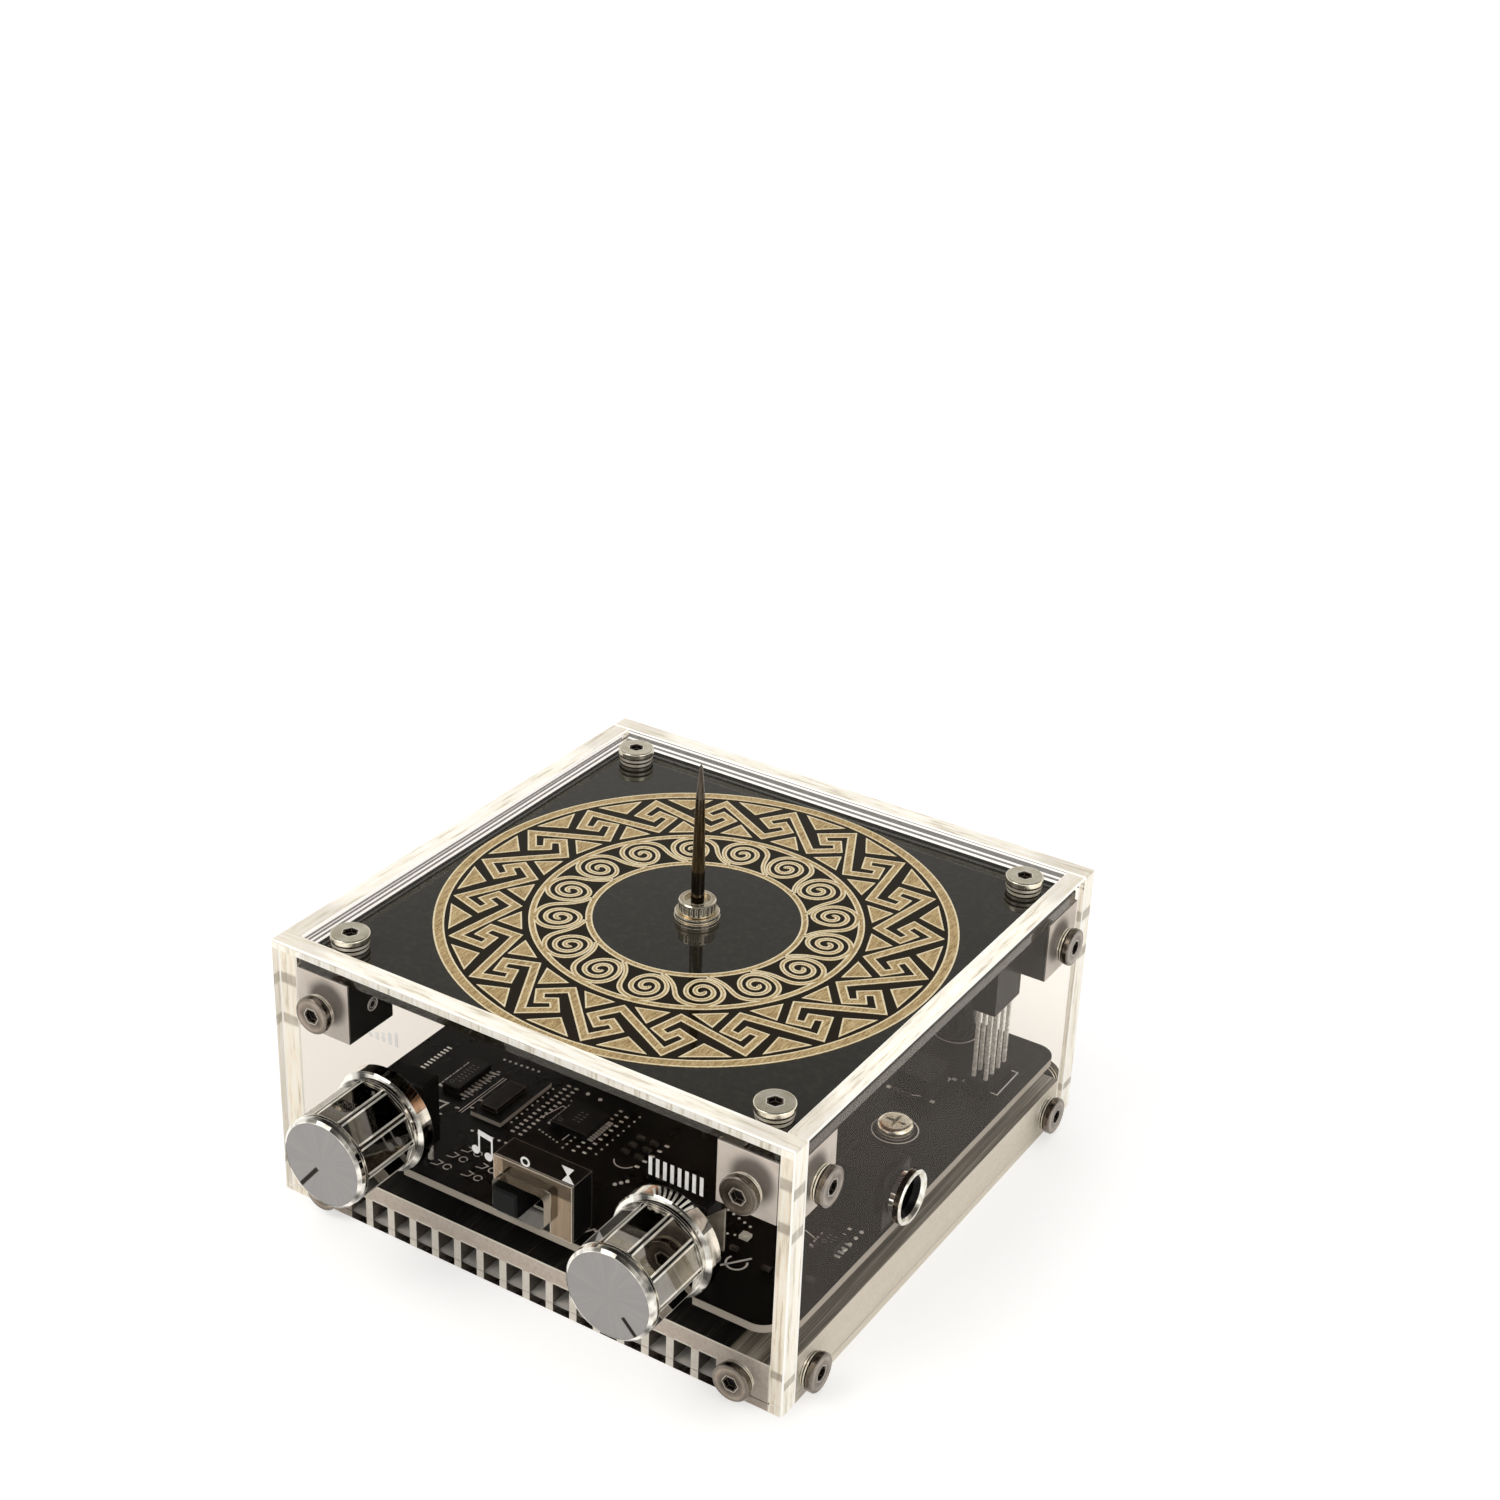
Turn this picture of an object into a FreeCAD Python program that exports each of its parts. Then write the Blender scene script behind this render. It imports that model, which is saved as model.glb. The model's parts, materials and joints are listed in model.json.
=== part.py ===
import FreeCAD, Part
import math
import os

# Desktop resonant transformer in a clear case. Millimetres, +Z up, front towards -Y.
# Origin: centre of the case footprint, on the surface it stands on.

os.makedirs("parts", exist_ok=True)
V = FreeCAD.Vector

# Case
CASE = 110.0            # width and depth over the panels
HEIGHT = 55.0           # panel height
WALL = 4.0              # panel thickness
EDGE = 0.25             # eased panel edges
INNER = CASE / 2 - WALL

# Top plate and corner blocks
PLATE_TOP = 51.8
PLATE_T = 2.0
PLATE_BOTTOM = PLATE_TOP - PLATE_T
BLOCK = 12.0
BLOCK_H = 12.6

# Screws
SCREW_AT = 45.0         # plate screws from the middle of the case
FRONT_SHIFT = 1.1       # offset along X of the front and rear panels' screws
SIDE_SHIFT = -1.5       # offset along Y of the side panels' screws, which clears the others
SIDE_SCREW_Z = 44.0
BASE_SCREW_Z = 5.0
SHANK_R = 1.5
HOLE_R = 1.7
HEAD_R = 3.65
HEAD_T = 1.3
SOCKET_R = 1.6
COLLAR_R = 3.5
COLLAR_T = 1.2
PLATE_COLLAR_T = 1.9
THREAD_DEPTH = 3.0
BORE_DEPTH = 3.1

# Heatsink
SINK_BOTTOM = 0.0
SINK_TOP = 8.1
SINK_BASE = 3.7
FIN_GAP = 3.6
FIN_PITCH = 5.16
FIN_GAPS = 16

# Main board
BOARD_TOP = 15.0
BOARD_T = 1.6
BOARD_HALF = 50.6
BOARD_CORNER = 4.0
BOARD_NOTCHES = [(-38.5, -27.8), (23.6, 35.0)]      # under the knobs, in the front edge
NOTCH_DEPTH = 4.0
BOARD_SCREWS = [(37.0, 9.0), (-37.0, 9.0), (12.0, 42.0), (-20.0, 42.0)]
# Capacitors: place, radius, height
CAPACITORS = [(30.5, 45.3, 4.0, 15.0), (20.5, 45.3, 4.0, 15.0), (-40.0, 40.0, 5.0, 20.0)]

# Power transistors under the board, clamped to the heatsink
TAB_SCREWS = [(-14.0, 21.0), (8.0, 21.0)]
TAB_T = 1.2

# Knobs and potentiometers
KNOB_Z = 28.6
LEFT_X = -27.9
RIGHT_X = 32.5
KNOB_FACE = -74.0       # outer face of the knobs
KNOB_BACK = -55.7       # back of the knob skirts
CAP_R = 8.0
RIM_R = 8.8
KNOB_R = 9.15           # at the rear end of the ribs
SKIRT_R = 10.0
FLAT_R = 8.52           # from the axis to the flat face of each rib
RIBS = 10
GROOVE_W = 0.56         # grooves between the ribs
POINTER_W = 0.84
SHAFT_R = 3.0
SHAFT_BORE_R = 3.06
SHAFT_FRONT = -68.0     # ends of the potentiometer shafts
SHAFT_BACK = -46.0
CAN_HALF = 4.5          # half width of the potentiometers' cans
CAN_Y = (-50.2, -45.2)
CAN_Z = (19.6, 34.0)
LEG_PITCH = 2.5
LEFT_MARK = 219.0       # pointer angle, clockwise from the top
LEFT_MARK_START = 1.6   # inner end of the pointer slot
RIGHT_MARK = 136.0
RIGHT_MARK_START = 4.2

# Slide switch
SWITCH_X = (-7.0, 10.0)
SWITCH_Z = (15.0, 27.0)
SWITCH_Y = (-50.4, -45.0)
LEVER_X = (-5.0, 0.4)
LEVER_Z = (18.0, 23.0)
LEVER_FRONT = -56.2
LEVER_TRAVEL = 4.4

# Power inlet
INLET_Y = -14.8
INLET_Z = 21.4
INLET_FRONT = 50.2      # front face of the inlet's body
PLUG_R = 3.3            # bore of the sleeve, for a 5.5 mm plug
INLET_BORE_R = 3.1
INLET_PIN_R = 1.0

# Plate ornament: radii from outside to inside
GOLD_T = 0.1
OUTER_RING = (46.6, 48.7)
KEY_BAND = (32.5, 45.9)
MID_RING = (29.9, 31.2)
INNER_RING = (19.4, 20.7)
KEY_UNITS = 20
KEY_START = 8.0
SCROLLS = 16
SCROLL_START = 13.0

# Needle
NEEDLE_R = 1.25
NEEDLE_TIP = 84.0


def box(x0, x1, y0, y1, z0, z1):
    return Part.makeBox(x1 - x0, y1 - y0, z1 - z0, V(x0, y0, z0))


def rod(x, y, z, direction, radius, length):
    return Part.makeCylinder(radius, length, V(x, y, z), V(*direction))


def tube(x, y, z, direction, outer, inner, length):
    return rod(x, y, z, direction, outer, length).cut(rod(x, y, z, direction, inner, length))


def prism(points, z, height):
    wire = Part.makePolygon([V(x, y, z) for x, y in points + points[:1]])
    return Part.Face(wire).extrude(V(0, 0, height))


def rounded_slab(half, corner, z, height):
    slab = box(-half, half, -half, half, z, z + height)
    upright = [e for e in slab.Edges if abs(e.Vertexes[0].Z - e.Vertexes[1].Z) > height / 2]
    return slab.makeFillet(corner, upright)


def revolve_y(profile, x, z):
    """Solid of revolution about the line through (x, z) parallel to Y; profile is (y, radius)."""
    wire = Part.makePolygon([V(x + r, y, z) for y, r in profile + profile[:1]])
    return Part.Face(wire).revolve(V(x, 0, z), V(0, 1, 0), 360)


def revolve_z(profile):
    wire = Part.makePolygon([V(r, 0, z) for z, r in profile + profile[:1]])
    return Part.Face(wire).revolve(V(0, 0, 0), V(0, 0, 1), 360)


def turned(shape, angle, x=0.0, y=0.0):
    copy = shape.copy()
    copy.rotate(V(x, y, 0), V(0, 0, 1), angle)
    return copy


def moved(shape, x, y, z):
    copy = shape.copy()
    copy.translate(V(x, y, z))
    return copy


def fuse(shapes):
    return shapes[0].multiFuse(shapes[1:]).removeSplitter()


def save(name, shapes):
    if not isinstance(shapes, list):
        shapes = [shapes]
    solids = [s for shape in shapes for s in shape.Solids]
    shape = solids[0] if len(solids) == 1 else Part.makeCompound(solids)
    shape.exportStep("parts/" + name + ".step")


# ---------------------------------------------------------------- screws
def socket_cutter(depth):
    points = []
    for i in range(6):
        a = math.radians(60 * i)
        points.append((SOCKET_R * math.cos(a), SOCKET_R * math.sin(a)))
    return prism(points, -depth, depth + 0.1)


def screw(length):
    """Button screw along -Z; the underside of its head is at z = 0."""
    head = Part.makeCylinder(HEAD_R, HEAD_T)
    rims = [e for e in head.Edges if isinstance(e.Curve, Part.Circle)]
    head = head.makeFillet(0.3, rims)
    body = fuse([head, rod(0, 0, 0, (0, 0, -1), SHANK_R, length)])
    return body.cut(moved(socket_cutter(1.0), 0, 0, HEAD_T))


def collar(height):
    """Two stacked rings under a screw head, the lower one narrower, from z = 0 upwards."""
    inner = HOLE_R - 0.1
    low = COLLAR_R - 0.2
    waist = COLLAR_R - 0.6
    return revolve_z([(0, inner), (0, low - 0.12), (0.12, low), (0.40 * height, low), (0.44 * height, waist),
                      (0.56 * height, waist), (0.60 * height, COLLAR_R), (height - 0.12, COLLAR_R),
                      (height, COLLAR_R - 0.12), (height, inner)])


def facing(shape, x, y, z, direction):
    copy = shape.copy()
    copy.Placement = FreeCAD.Placement(V(x, y, z), FreeCAD.Rotation(V(0, 0, 1), V(*direction)))
    return copy


FRONT = (0, -1, 0)
REAR = (0, 1, 0)
LEFT = (-1, 0, 0)
RIGHT = (1, 0, 0)
UP = (0, 0, 1)
SIDES = (FRONT, REAR, LEFT, RIGHT)


def screw_seats(direction):
    """Points on the outer face of one panel where its four screws sit."""
    out = CASE / 2
    seats = []
    for s in (-SCREW_AT, SCREW_AT):
        for z in (BASE_SCREW_Z, SIDE_SCREW_Z):
            if direction[0]:
                seats.append((out * direction[0], s + SIDE_SHIFT, z))
            else:
                seats.append((s + FRONT_SHIFT, out * direction[1], z))
    return seats


corners = [(x, y) for x in (-SCREW_AT, SCREW_AT) for y in (-SCREW_AT, SCREW_AT)]
plate_seats = [(x, y, PLATE_TOP) for x, y in corners]

side_screw = screw(COLLAR_T + WALL + THREAD_DEPTH)
plate_screw = screw(PLATE_COLLAR_T + PLATE_T + THREAD_DEPTH)
side_collar = collar(COLLAR_T)
plate_collar = collar(PLATE_COLLAR_T)

side_screws = []
side_collars = []
for direction in SIDES:
    for x, y, z in screw_seats(direction):
        lift = V(*direction) * COLLAR_T
        side_screws.append(facing(side_screw, x + lift.x, y + lift.y, z, direction))
        side_collars.append(facing(side_collar, x, y, z, direction))
save("side_screws", side_screws)
save("side_screw_collars", side_collars)
save("plate_screws", [moved(plate_screw, x, y, z + PLATE_COLLAR_T) for x, y, z in plate_seats])
save("plate_screw_collars", [moved(plate_collar, x, y, z) for x, y, z in plate_seats])


# ---------------------------------------------------------------- clear panels
def panel(x0, x1, y0, y1, direction):
    slab = box(x0, x1, y0, y1, 0, HEIGHT)
    slab = slab.makeChamfer(EDGE, slab.Edges)
    for x, y, z in screw_seats(direction):
        slab = slab.cut(rod(x, y, z, [-c for c in direction], HOLE_R, WALL))
    return slab


half = CASE / 2
front_panel = panel(-half, half, -half, -INNER, FRONT)
for x in (LEFT_X, RIGHT_X):
    front_panel = front_panel.cut(rod(x, -half, KNOB_Z, REAR, 3.7, WALL))
slot = box(LEVER_X[0] - 0.7, LEVER_X[1] + LEVER_TRAVEL + 0.7, -half, -INNER, 17.0, 24.0)
slot = slot.makeFillet(1.2, [e for e in slot.Edges if abs(e.Vertexes[0].Y - e.Vertexes[1].Y) > 1])
front_panel = front_panel.cut(slot)
save("front_panel", front_panel)
save("rear_panel", panel(-half, half, INNER, half, REAR))
save("left_panel", panel(-half, -INNER, -INNER, INNER, LEFT))
right_panel = panel(INNER, half, -INNER, INNER, RIGHT)
save("right_panel", right_panel.cut(rod(INNER, INLET_Y, INLET_Z, RIGHT, 4.3, WALL)))

# ---------------------------------------------------------------- corner blocks
block_solids = []
for x, y in corners:
    sx = math.copysign(1, x)
    sy = math.copysign(1, y)
    block = Part.makeBox(BLOCK, BLOCK, BLOCK_H, V(-BLOCK / 2, -BLOCK / 2, 0))
    block = block.makeChamfer(0.2, block.Edges)
    block = moved(block, x, y, PLATE_BOTTOM - BLOCK_H)
    block = block.cut(rod(x, y, PLATE_BOTTOM, (0, 0, -1), SHANK_R + 0.05, THREAD_DEPTH + 0.4))
    front_x = x + FRONT_SHIFT
    side_y = y + SIDE_SHIFT
    block = block.cut(rod(front_x, sy * INNER, SIDE_SCREW_Z, (0, -sy, 0), SHANK_R + 0.05, BORE_DEPTH))
    block = block.cut(rod(sx * INNER, side_y, SIDE_SCREW_Z, (-sx, 0, 0), SHANK_R + 0.05, BORE_DEPTH))
    block_solids.append(block)
save("corner_blocks", block_solids)

# ---------------------------------------------------------------- top plate and windings
plate = rounded_slab(INNER - 0.2, 1.0, PLATE_BOTTOM, PLATE_T)
for x, y in corners:
    plate = plate.cut(rod(x, y, PLATE_BOTTOM, UP, HOLE_R, PLATE_T))
save("top_plate", plate.cut(rod(0, 0, PLATE_BOTTOM, UP, 1.6, PLATE_T)))

save("secondary_winding", tube(0, 0, PLATE_BOTTOM - 0.2, UP, 40.0, 9.0, 0.2))
turns = [tube(0, 0, PLATE_BOTTOM - 0.3, UP, r + 0.9, r, 0.3) for r in (42.0, 44.0, 46.0)]
links = [box(r + 0.5, r + 2.4, -0.8, 0.8, PLATE_BOTTOM - 0.3, PLATE_BOTTOM) for r in (42.0, 44.0)]
save("primary_winding", fuse(turns + links))


# ---------------------------------------------------------------- plate ornament
def polar(radius, degrees):
    a = math.radians(degrees)
    return (radius * math.cos(a), radius * math.sin(a))


def offset_line(points, distance, closed):
    """Parallel polyline with mitred corners, to the left for a positive distance."""
    count = len(points)
    result = []
    for i, (x, y) in enumerate(points):
        before = points[i - 1] if closed or i else None
        after = points[(i + 1) % count] if closed or i < count - 1 else None
        normals = []
        for a, b in ((before, (x, y)), ((x, y), after)):
            if a is not None and b is not None:
                length = math.hypot(b[0] - a[0], b[1] - a[1])
                normals.append(((a[1] - b[1]) / length, (b[0] - a[0]) / length))
        nx = sum(n[0] for n in normals) / len(normals)
        ny = sum(n[1] for n in normals) / len(normals)
        scale = distance / (nx * nx + ny * ny)
        result.append((x + nx * scale, y + ny * scale))
    return result


def gold(points):
    return prism(points, PLATE_TOP, GOLD_T)


def gold_ring(radii):
    return tube(0, 0, PLATE_TOP, UP, radii[1], radii[0], GOLD_T)


# One key unit: position along the pitch, height across the band
KEY_LINE = [(0.0, 0.905), (0.325, 0.59), (0.160, 0.433), (0.001, 0.567), (-0.164, 0.41), (0.161, 0.095)]
KEY_FILL = [(0.195, 1.0), (0.827, 1.0), (0.511, 0.675)]
KEY_HALF_WIDTH = 0.88
pitch = 360.0 / KEY_UNITS


def key_point(unit, along, across):
    radius = KEY_BAND[0] + across * (KEY_BAND[1] - KEY_BAND[0])
    return polar(radius, KEY_START + (unit + along) * pitch)


key_line = [key_point(u, s, t) for u in range(KEY_UNITS) for s, t in KEY_LINE]
inner_edge = offset_line(key_line, KEY_HALF_WIDTH, True)
outer_edge = offset_line(key_line, -KEY_HALF_WIDTH, True)
save("key_ring_outer", gold_ring(OUTER_RING))
save("key_band", gold(outer_edge).cut(gold(inner_edge)))
fillers = []
for u in range(KEY_UNITS):
    fillers.append(gold([key_point(u, s, t) for s, t in KEY_FILL]))
    fillers.append(gold([key_point(u, 0.161 - s, 1.0 - t) for s, t in KEY_FILL]))
save("key_fillers", fillers)

# Running scrolls between the two thin rings
SCROLL_R = (MID_RING[0] + INNER_RING[1]) / 2
SCROLL_HALF_WIDTH = 0.47
scroll_line = []
for step in range(0, 56):
    turn = step / 24.0
    reach = 0.35 + 1.66 * turn
    a = 2 * math.pi * turn
    scroll_line.append((reach * math.cos(a), 1.12 * reach * math.sin(a)))
scroll_line += [(-3.3, 3.35), (-4.3, 1.9), (-4.85, 0.0), (-5.55, -1.9), (-6.9, -3.6), (-8.6, -4.6)]


def scroll_side(distance):
    side = offset_line(scroll_line, distance, False)
    flat = [polar(SCROLL_R + q, math.degrees(p / SCROLL_R)) for p, q in side]
    curve = Part.BSplineCurve()
    curve.interpolate([V(x, y, PLATE_TOP) for x, y in flat])
    return curve.toShape(), V(*flat[0], PLATE_TOP), V(*flat[-1], PLATE_TOP)


left_side, left_start, left_end = scroll_side(SCROLL_HALF_WIDTH)
right_side, right_start, right_end = scroll_side(-SCROLL_HALF_WIDTH)
outer_cap = Part.makeLine(left_end, right_end)
inner_cap = Part.makeLine(right_start, left_start)
scroll_wire = Part.Wire(Part.__sortEdges__([left_side, outer_cap, right_side, inner_cap]))
scroll = Part.Face(scroll_wire).extrude(V(0, 0, GOLD_T))
scrolls = [turned(scroll, SCROLL_START + i * 360.0 / SCROLLS) for i in range(SCROLLS)]
save("scroll_band", fuse([gold_ring(MID_RING), gold_ring(INNER_RING)] + scrolls))

# ---------------------------------------------------------------- needle
flange = revolve_z([(51.8, 1.3), (51.8, 4.3), (52.5, 4.3), (52.6, 3.95), (52.8, 3.95), (52.9, 4.2),
                    (53.4, 4.2), (53.5, 4.05), (53.5, 1.3)])
save("needle_flange", flange)
nut = revolve_z([(53.5, 1.3), (53.5, 3.3), (53.7, 3.5), (55.8, 3.5), (56.0, 3.3), (56.0, 2.5), (55.3, 2.5),
                 (55.3, 1.3)])
for i in range(24):
    nut = nut.cut(turned(box(3.2, 4.0, -0.17, 0.17, 53.9, 55.5), i * 15))
save("needle_collar", nut)
needle = revolve_z([(44.8, 0.0), (44.8, NEEDLE_R), (62.0, NEEDLE_R), (77.0, 0.85), (83.4, 0.3),
                    (NEEDLE_TIP, 0.0)])
save("discharge_needle", needle)
points = [polar(2.9, 60 * i) for i in range(6)]
save("needle_nut", prism(points, PLATE_BOTTOM - 2.2, 2.2).cut(rod(0, 0, 46.0, UP, NEEDLE_R + 0.02, 5.0)))

# ---------------------------------------------------------------- heatsink
sink = box(-INNER, INNER, -INNER, INNER, SINK_BOTTOM, SINK_TOP)
first = -((FIN_GAPS - 1) * FIN_PITCH + FIN_GAP) / 2
fin_floor = SINK_TOP - SINK_BASE
for i in range(FIN_GAPS):
    x = first + i * FIN_PITCH
    sink = sink.cut(box(x, x + FIN_GAP, -INNER, INNER, SINK_BOTTOM - 1, fin_floor))
for direction in SIDES:
    for x, y, z in screw_seats(direction):
        if z == BASE_SCREW_Z:
            inward = [-c for c in direction]
            start = V(x, y, z) + V(*inward) * WALL
            sink = sink.cut(rod(start.x, start.y, z, inward, SHANK_R + 0.05, BORE_DEPTH))
for x, y in BOARD_SCREWS + TAB_SCREWS:
    sink = sink.cut(rod(x, y, SINK_TOP, (0, 0, -1), SHANK_R + 0.05, 3.0))
save("heatsink", sink)

# ---------------------------------------------------------------- main board and its fixings
board_bottom = BOARD_TOP - BOARD_T
board = rounded_slab(BOARD_HALF, BOARD_CORNER, board_bottom, BOARD_T)
for x0, x1 in BOARD_NOTCHES:
    board = board.cut(box(x0, x1, -BOARD_HALF - 1, -BOARD_HALF + NOTCH_DEPTH, board_bottom, BOARD_TOP))
for x, y in BOARD_SCREWS:
    board = board.cut(rod(x, y, board_bottom, UP, 1.7, BOARD_T))

standoff_h = board_bottom - SINK_TOP
save("board_standoffs", [tube(x, y, SINK_TOP, UP, 2.75, 1.6, standoff_h) for x, y in BOARD_SCREWS])


def pan_screw(x, y, seat):
    """Cross-slot screw into the heatsink; the underside of its head is at z = seat."""
    head = Part.makeCylinder(3.5, 2.0, V(x, y, seat))
    top = [e for e in head.Edges if isinstance(e.Curve, Part.Circle) and e.CenterOfMass.z > seat + 1]
    head = head.makeFillet(0.9, top)
    body = fuse([head, rod(x, y, SINK_TOP - 2.8, UP, SHANK_R, seat - SINK_TOP + 2.8)])
    body = body.cut(box(x - 2.0, x + 2.0, y - 0.35, y + 0.35, seat + 1.0, seat + 3))
    return body.cut(box(x - 0.35, x + 0.35, y - 2.0, y + 2.0, seat + 1.0, seat + 3))


save("board_screws", [pan_screw(x, y, BOARD_TOP) for x, y in BOARD_SCREWS])
save("transistor_screws", [pan_screw(x, y, SINK_TOP + TAB_T) for x, y in TAB_SCREWS])


# ---------------------------------------------------------------- potentiometers and knobs
def turned_about_knob(shape, x, degrees):
    """Copy turned about the knob's axis, clockwise as seen from the front."""
    copy = shape.copy()
    copy.rotate(V(x, 0, KNOB_Z), V(0, 1, 0), degrees)
    return copy


def pointer_cutter(x, mark, start):
    """Radial slot of the pointer, at an angle measured from the top."""
    side = POINTER_W / 2
    cutter = box(x - side, x + side, KNOB_FACE - 1, KNOB_FACE + 0.3, KNOB_Z + start, KNOB_Z + KNOB_R)
    return turned_about_knob(cutter, x, mark)


def knob(x, name, mark, start):
    face = KNOB_FACE
    back = KNOB_BACK
    profile = [(face + 0.5, 0), (face + 0.5, CAP_R + 0.02), (face, CAP_R + 0.05),
               (face + 0.03, CAP_R + 0.25), (face + 0.5, RIM_R - 0.1), (face + 1.3, RIM_R),
               (face + 1.4, RIM_R - 0.35), (face + 1.75, RIM_R - 0.35), (face + 1.85, RIM_R),
               (back - 4.2, KNOB_R), (back - 3.9, 8.85), (back - 3.5, 8.85), (back - 3.2, SKIRT_R - 0.25),
               (back - 2.9, SKIRT_R), (back - 0.3, SKIRT_R), (back, SKIRT_R - 0.3), (back, 7.4),
               (back - 4.6, 7.4), (back - 4.6, 0)]
    body = revolve_y(profile, x, KNOB_Z)
    flat_z = KNOB_Z + FLAT_R
    beyond = KNOB_Z + KNOB_R + 1
    flat = box(x - KNOB_R, x + KNOB_R, face + 1.95, back - 4.3, flat_z, beyond)
    groove = box(x - GROOVE_W / 2, x + GROOVE_W / 2, face + 2.3, back - 4.9, flat_z - 0.15, beyond)
    for i in range(RIBS):
        turn = i * 360.0 / RIBS
        body = body.cut(turned_about_knob(flat, x, turn))
        body = body.cut(turned_about_knob(groove, x, turn + 180.0 / RIBS))
    body = body.cut(rod(x, SHAFT_FRONT, KNOB_Z, REAR, SHAFT_R, 20.0))
    save(name + "_knob", body)
    cap = rod(x, face, KNOB_Z, REAR, CAP_R, 0.5)
    save(name + "_knob_cap", cap.cut(pointer_cutter(x, mark, start)))
    shaft = rod(x, SHAFT_FRONT, KNOB_Z, REAR, SHAFT_R, SHAFT_BACK - SHAFT_FRONT)
    tip = [e for e in shaft.Edges if isinstance(e.Curve, Part.Circle)]
    save(name + "_pot_shaft", shaft.makeChamfer(0.3, tip))


def pot_body(x):
    can = box(x - CAN_HALF, x + CAN_HALF, *CAN_Y, *CAN_Z)
    can = can.makeChamfer(0.3, can.Edges)
    return can.cut(rod(x, CAN_Y[0], KNOB_Z, REAR, SHAFT_BORE_R, SHAFT_BACK + 0.1 - CAN_Y[0]))


def pot_bushing(x, turn):
    """Bushing and mounting plate; the plate's raised ear is at the right when turn is 0."""
    neck = rod(x, -57.6, KNOB_Z, REAR, 3.5, CAN_Y[0] + 57.6)
    outline = [(-4.4, 27.3), (8.3, 27.3), (8.3, 36.0), (4.6, 32.6), (-4.4, 32.6)]
    wire = Part.makePolygon([V(x + along, CAN_Y[0], z) for along, z in outline + outline[:1]])
    mount = turned_about_knob(Part.Face(wire).extrude(V(0, -0.5, 0)), x, turn)
    return fuse([neck, mount]).cut(rod(x, -58, KNOB_Z, REAR, SHAFT_BORE_R, 9.0))


def pot_nut(x):
    hexagon = prism([polar(5.2, 60 * i) for i in range(6)], 0, 1.8)
    return facing(hexagon, x, -half, KNOB_Z, FRONT).cut(rod(x, -60, KNOB_Z, REAR, 3.52, 10))


def pot_leg(x):
    return box(x - 0.45, x + 0.45, -46.1, -45.6, board_bottom - 1, CAN_Z[0])


knob(LEFT_X, "left", LEFT_MARK, LEFT_MARK_START)
knob(RIGHT_X, "right", RIGHT_MARK, RIGHT_MARK_START)
save("left_pot_body", pot_body(LEFT_X))
save("right_pot_body", pot_body(RIGHT_X))
pot_axes = (LEFT_X, RIGHT_X)
save("pot_bushings", [pot_bushing(LEFT_X, 180), pot_bushing(RIGHT_X, 0)])
save("pot_nuts", [pot_nut(x) for x in pot_axes])
pot_legs = [pot_leg(x + shift) for x in pot_axes for shift in (-LEG_PITCH, 0.0, LEG_PITCH)]
save("pot_legs", pot_legs)

# ---------------------------------------------------------------- slide switch
sx0, sx1 = SWITCH_X
sy0, sy1 = SWITCH_Y
sz0, sz1 = SWITCH_Z
lx0, lx1 = LEVER_X
lz0, lz1 = LEVER_Z
switch_body = box(sx0, sx1, sy0, sy1, sz0, sz1)
run = box(lx0 - 0.5, lx1 + LEVER_TRAVEL + 0.5, sy0 - 1, sy1 - 1.5, lz0 - 0.5, lz1 + 0.5)
save("switch_body", switch_body.cut(run))
opening_end = lx1 + LEVER_TRAVEL + 0.5
frame = box(sx0, sx1, -50.9, sy0, sz0, sz1)
frame = frame.cut(box(lx0 - 0.5, opening_end, -52, sy0 + 1, 14, 23.8))
sill = box(0.3, opening_end, -50.9, -48.2, 17.5, 17.9)
save("switch_frame", fuse([frame, sill]))
lever = box(lx0, lx1, LEVER_FRONT, sy1 - 1.9, lz0, lz1)
front_edges = [e for e in lever.Edges if e.BoundBox.YMax < LEVER_FRONT + 0.01]
save("switch_lever", lever.makeChamfer(0.4, front_edges))
switch_legs = []
for x in (-4.0, -0.3, 3.4, 7.1):
    switch_legs.append(box(x - 0.3, x + 0.3, -47.4, -47.0, board_bottom - 1, sz0))
save("switch_legs", switch_legs)

# ---------------------------------------------------------------- power inlet
inlet = box(40.0, INLET_FRONT, INLET_Y - 4.7, INLET_Y + 4.7, BOARD_TOP, INLET_Z + 4.9)
inlet = inlet.makeChamfer(0.4, [e for e in inlet.Edges if e.BoundBox.ZMin > BOARD_TOP + 1])
inlet = inlet.cut(rod(42.0, INLET_Y, INLET_Z, RIGHT, INLET_BORE_R, 9.0))
save("inlet_body", inlet)
sleeve_profile = [(INLET_FRONT, PLUG_R), (INLET_FRONT, 4.1), (55.0, 4.1), (55.0, 5.2), (56.2, 5.2),
                  (56.4, 5.0), (56.4, 4.5), (55.0, 3.6), (54.6, PLUG_R)]
sleeve_wire = Part.makePolygon([V(x, INLET_Y + r, INLET_Z) for x, r in sleeve_profile + sleeve_profile[:1]])
sleeve = Part.Face(sleeve_wire).revolve(V(0, INLET_Y, INLET_Z), V(1, 0, 0), 360)
save("inlet_sleeve", sleeve)
pin = rod(42.0, INLET_Y, INLET_Z, RIGHT, INLET_PIN_R, 8.0)
tip_edge = [e for e in pin.Edges if isinstance(e.Curve, Part.Circle) and e.CenterOfMass.x > 49]
save("inlet_pin", pin.makeFillet(0.5, tip_edge))

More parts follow.
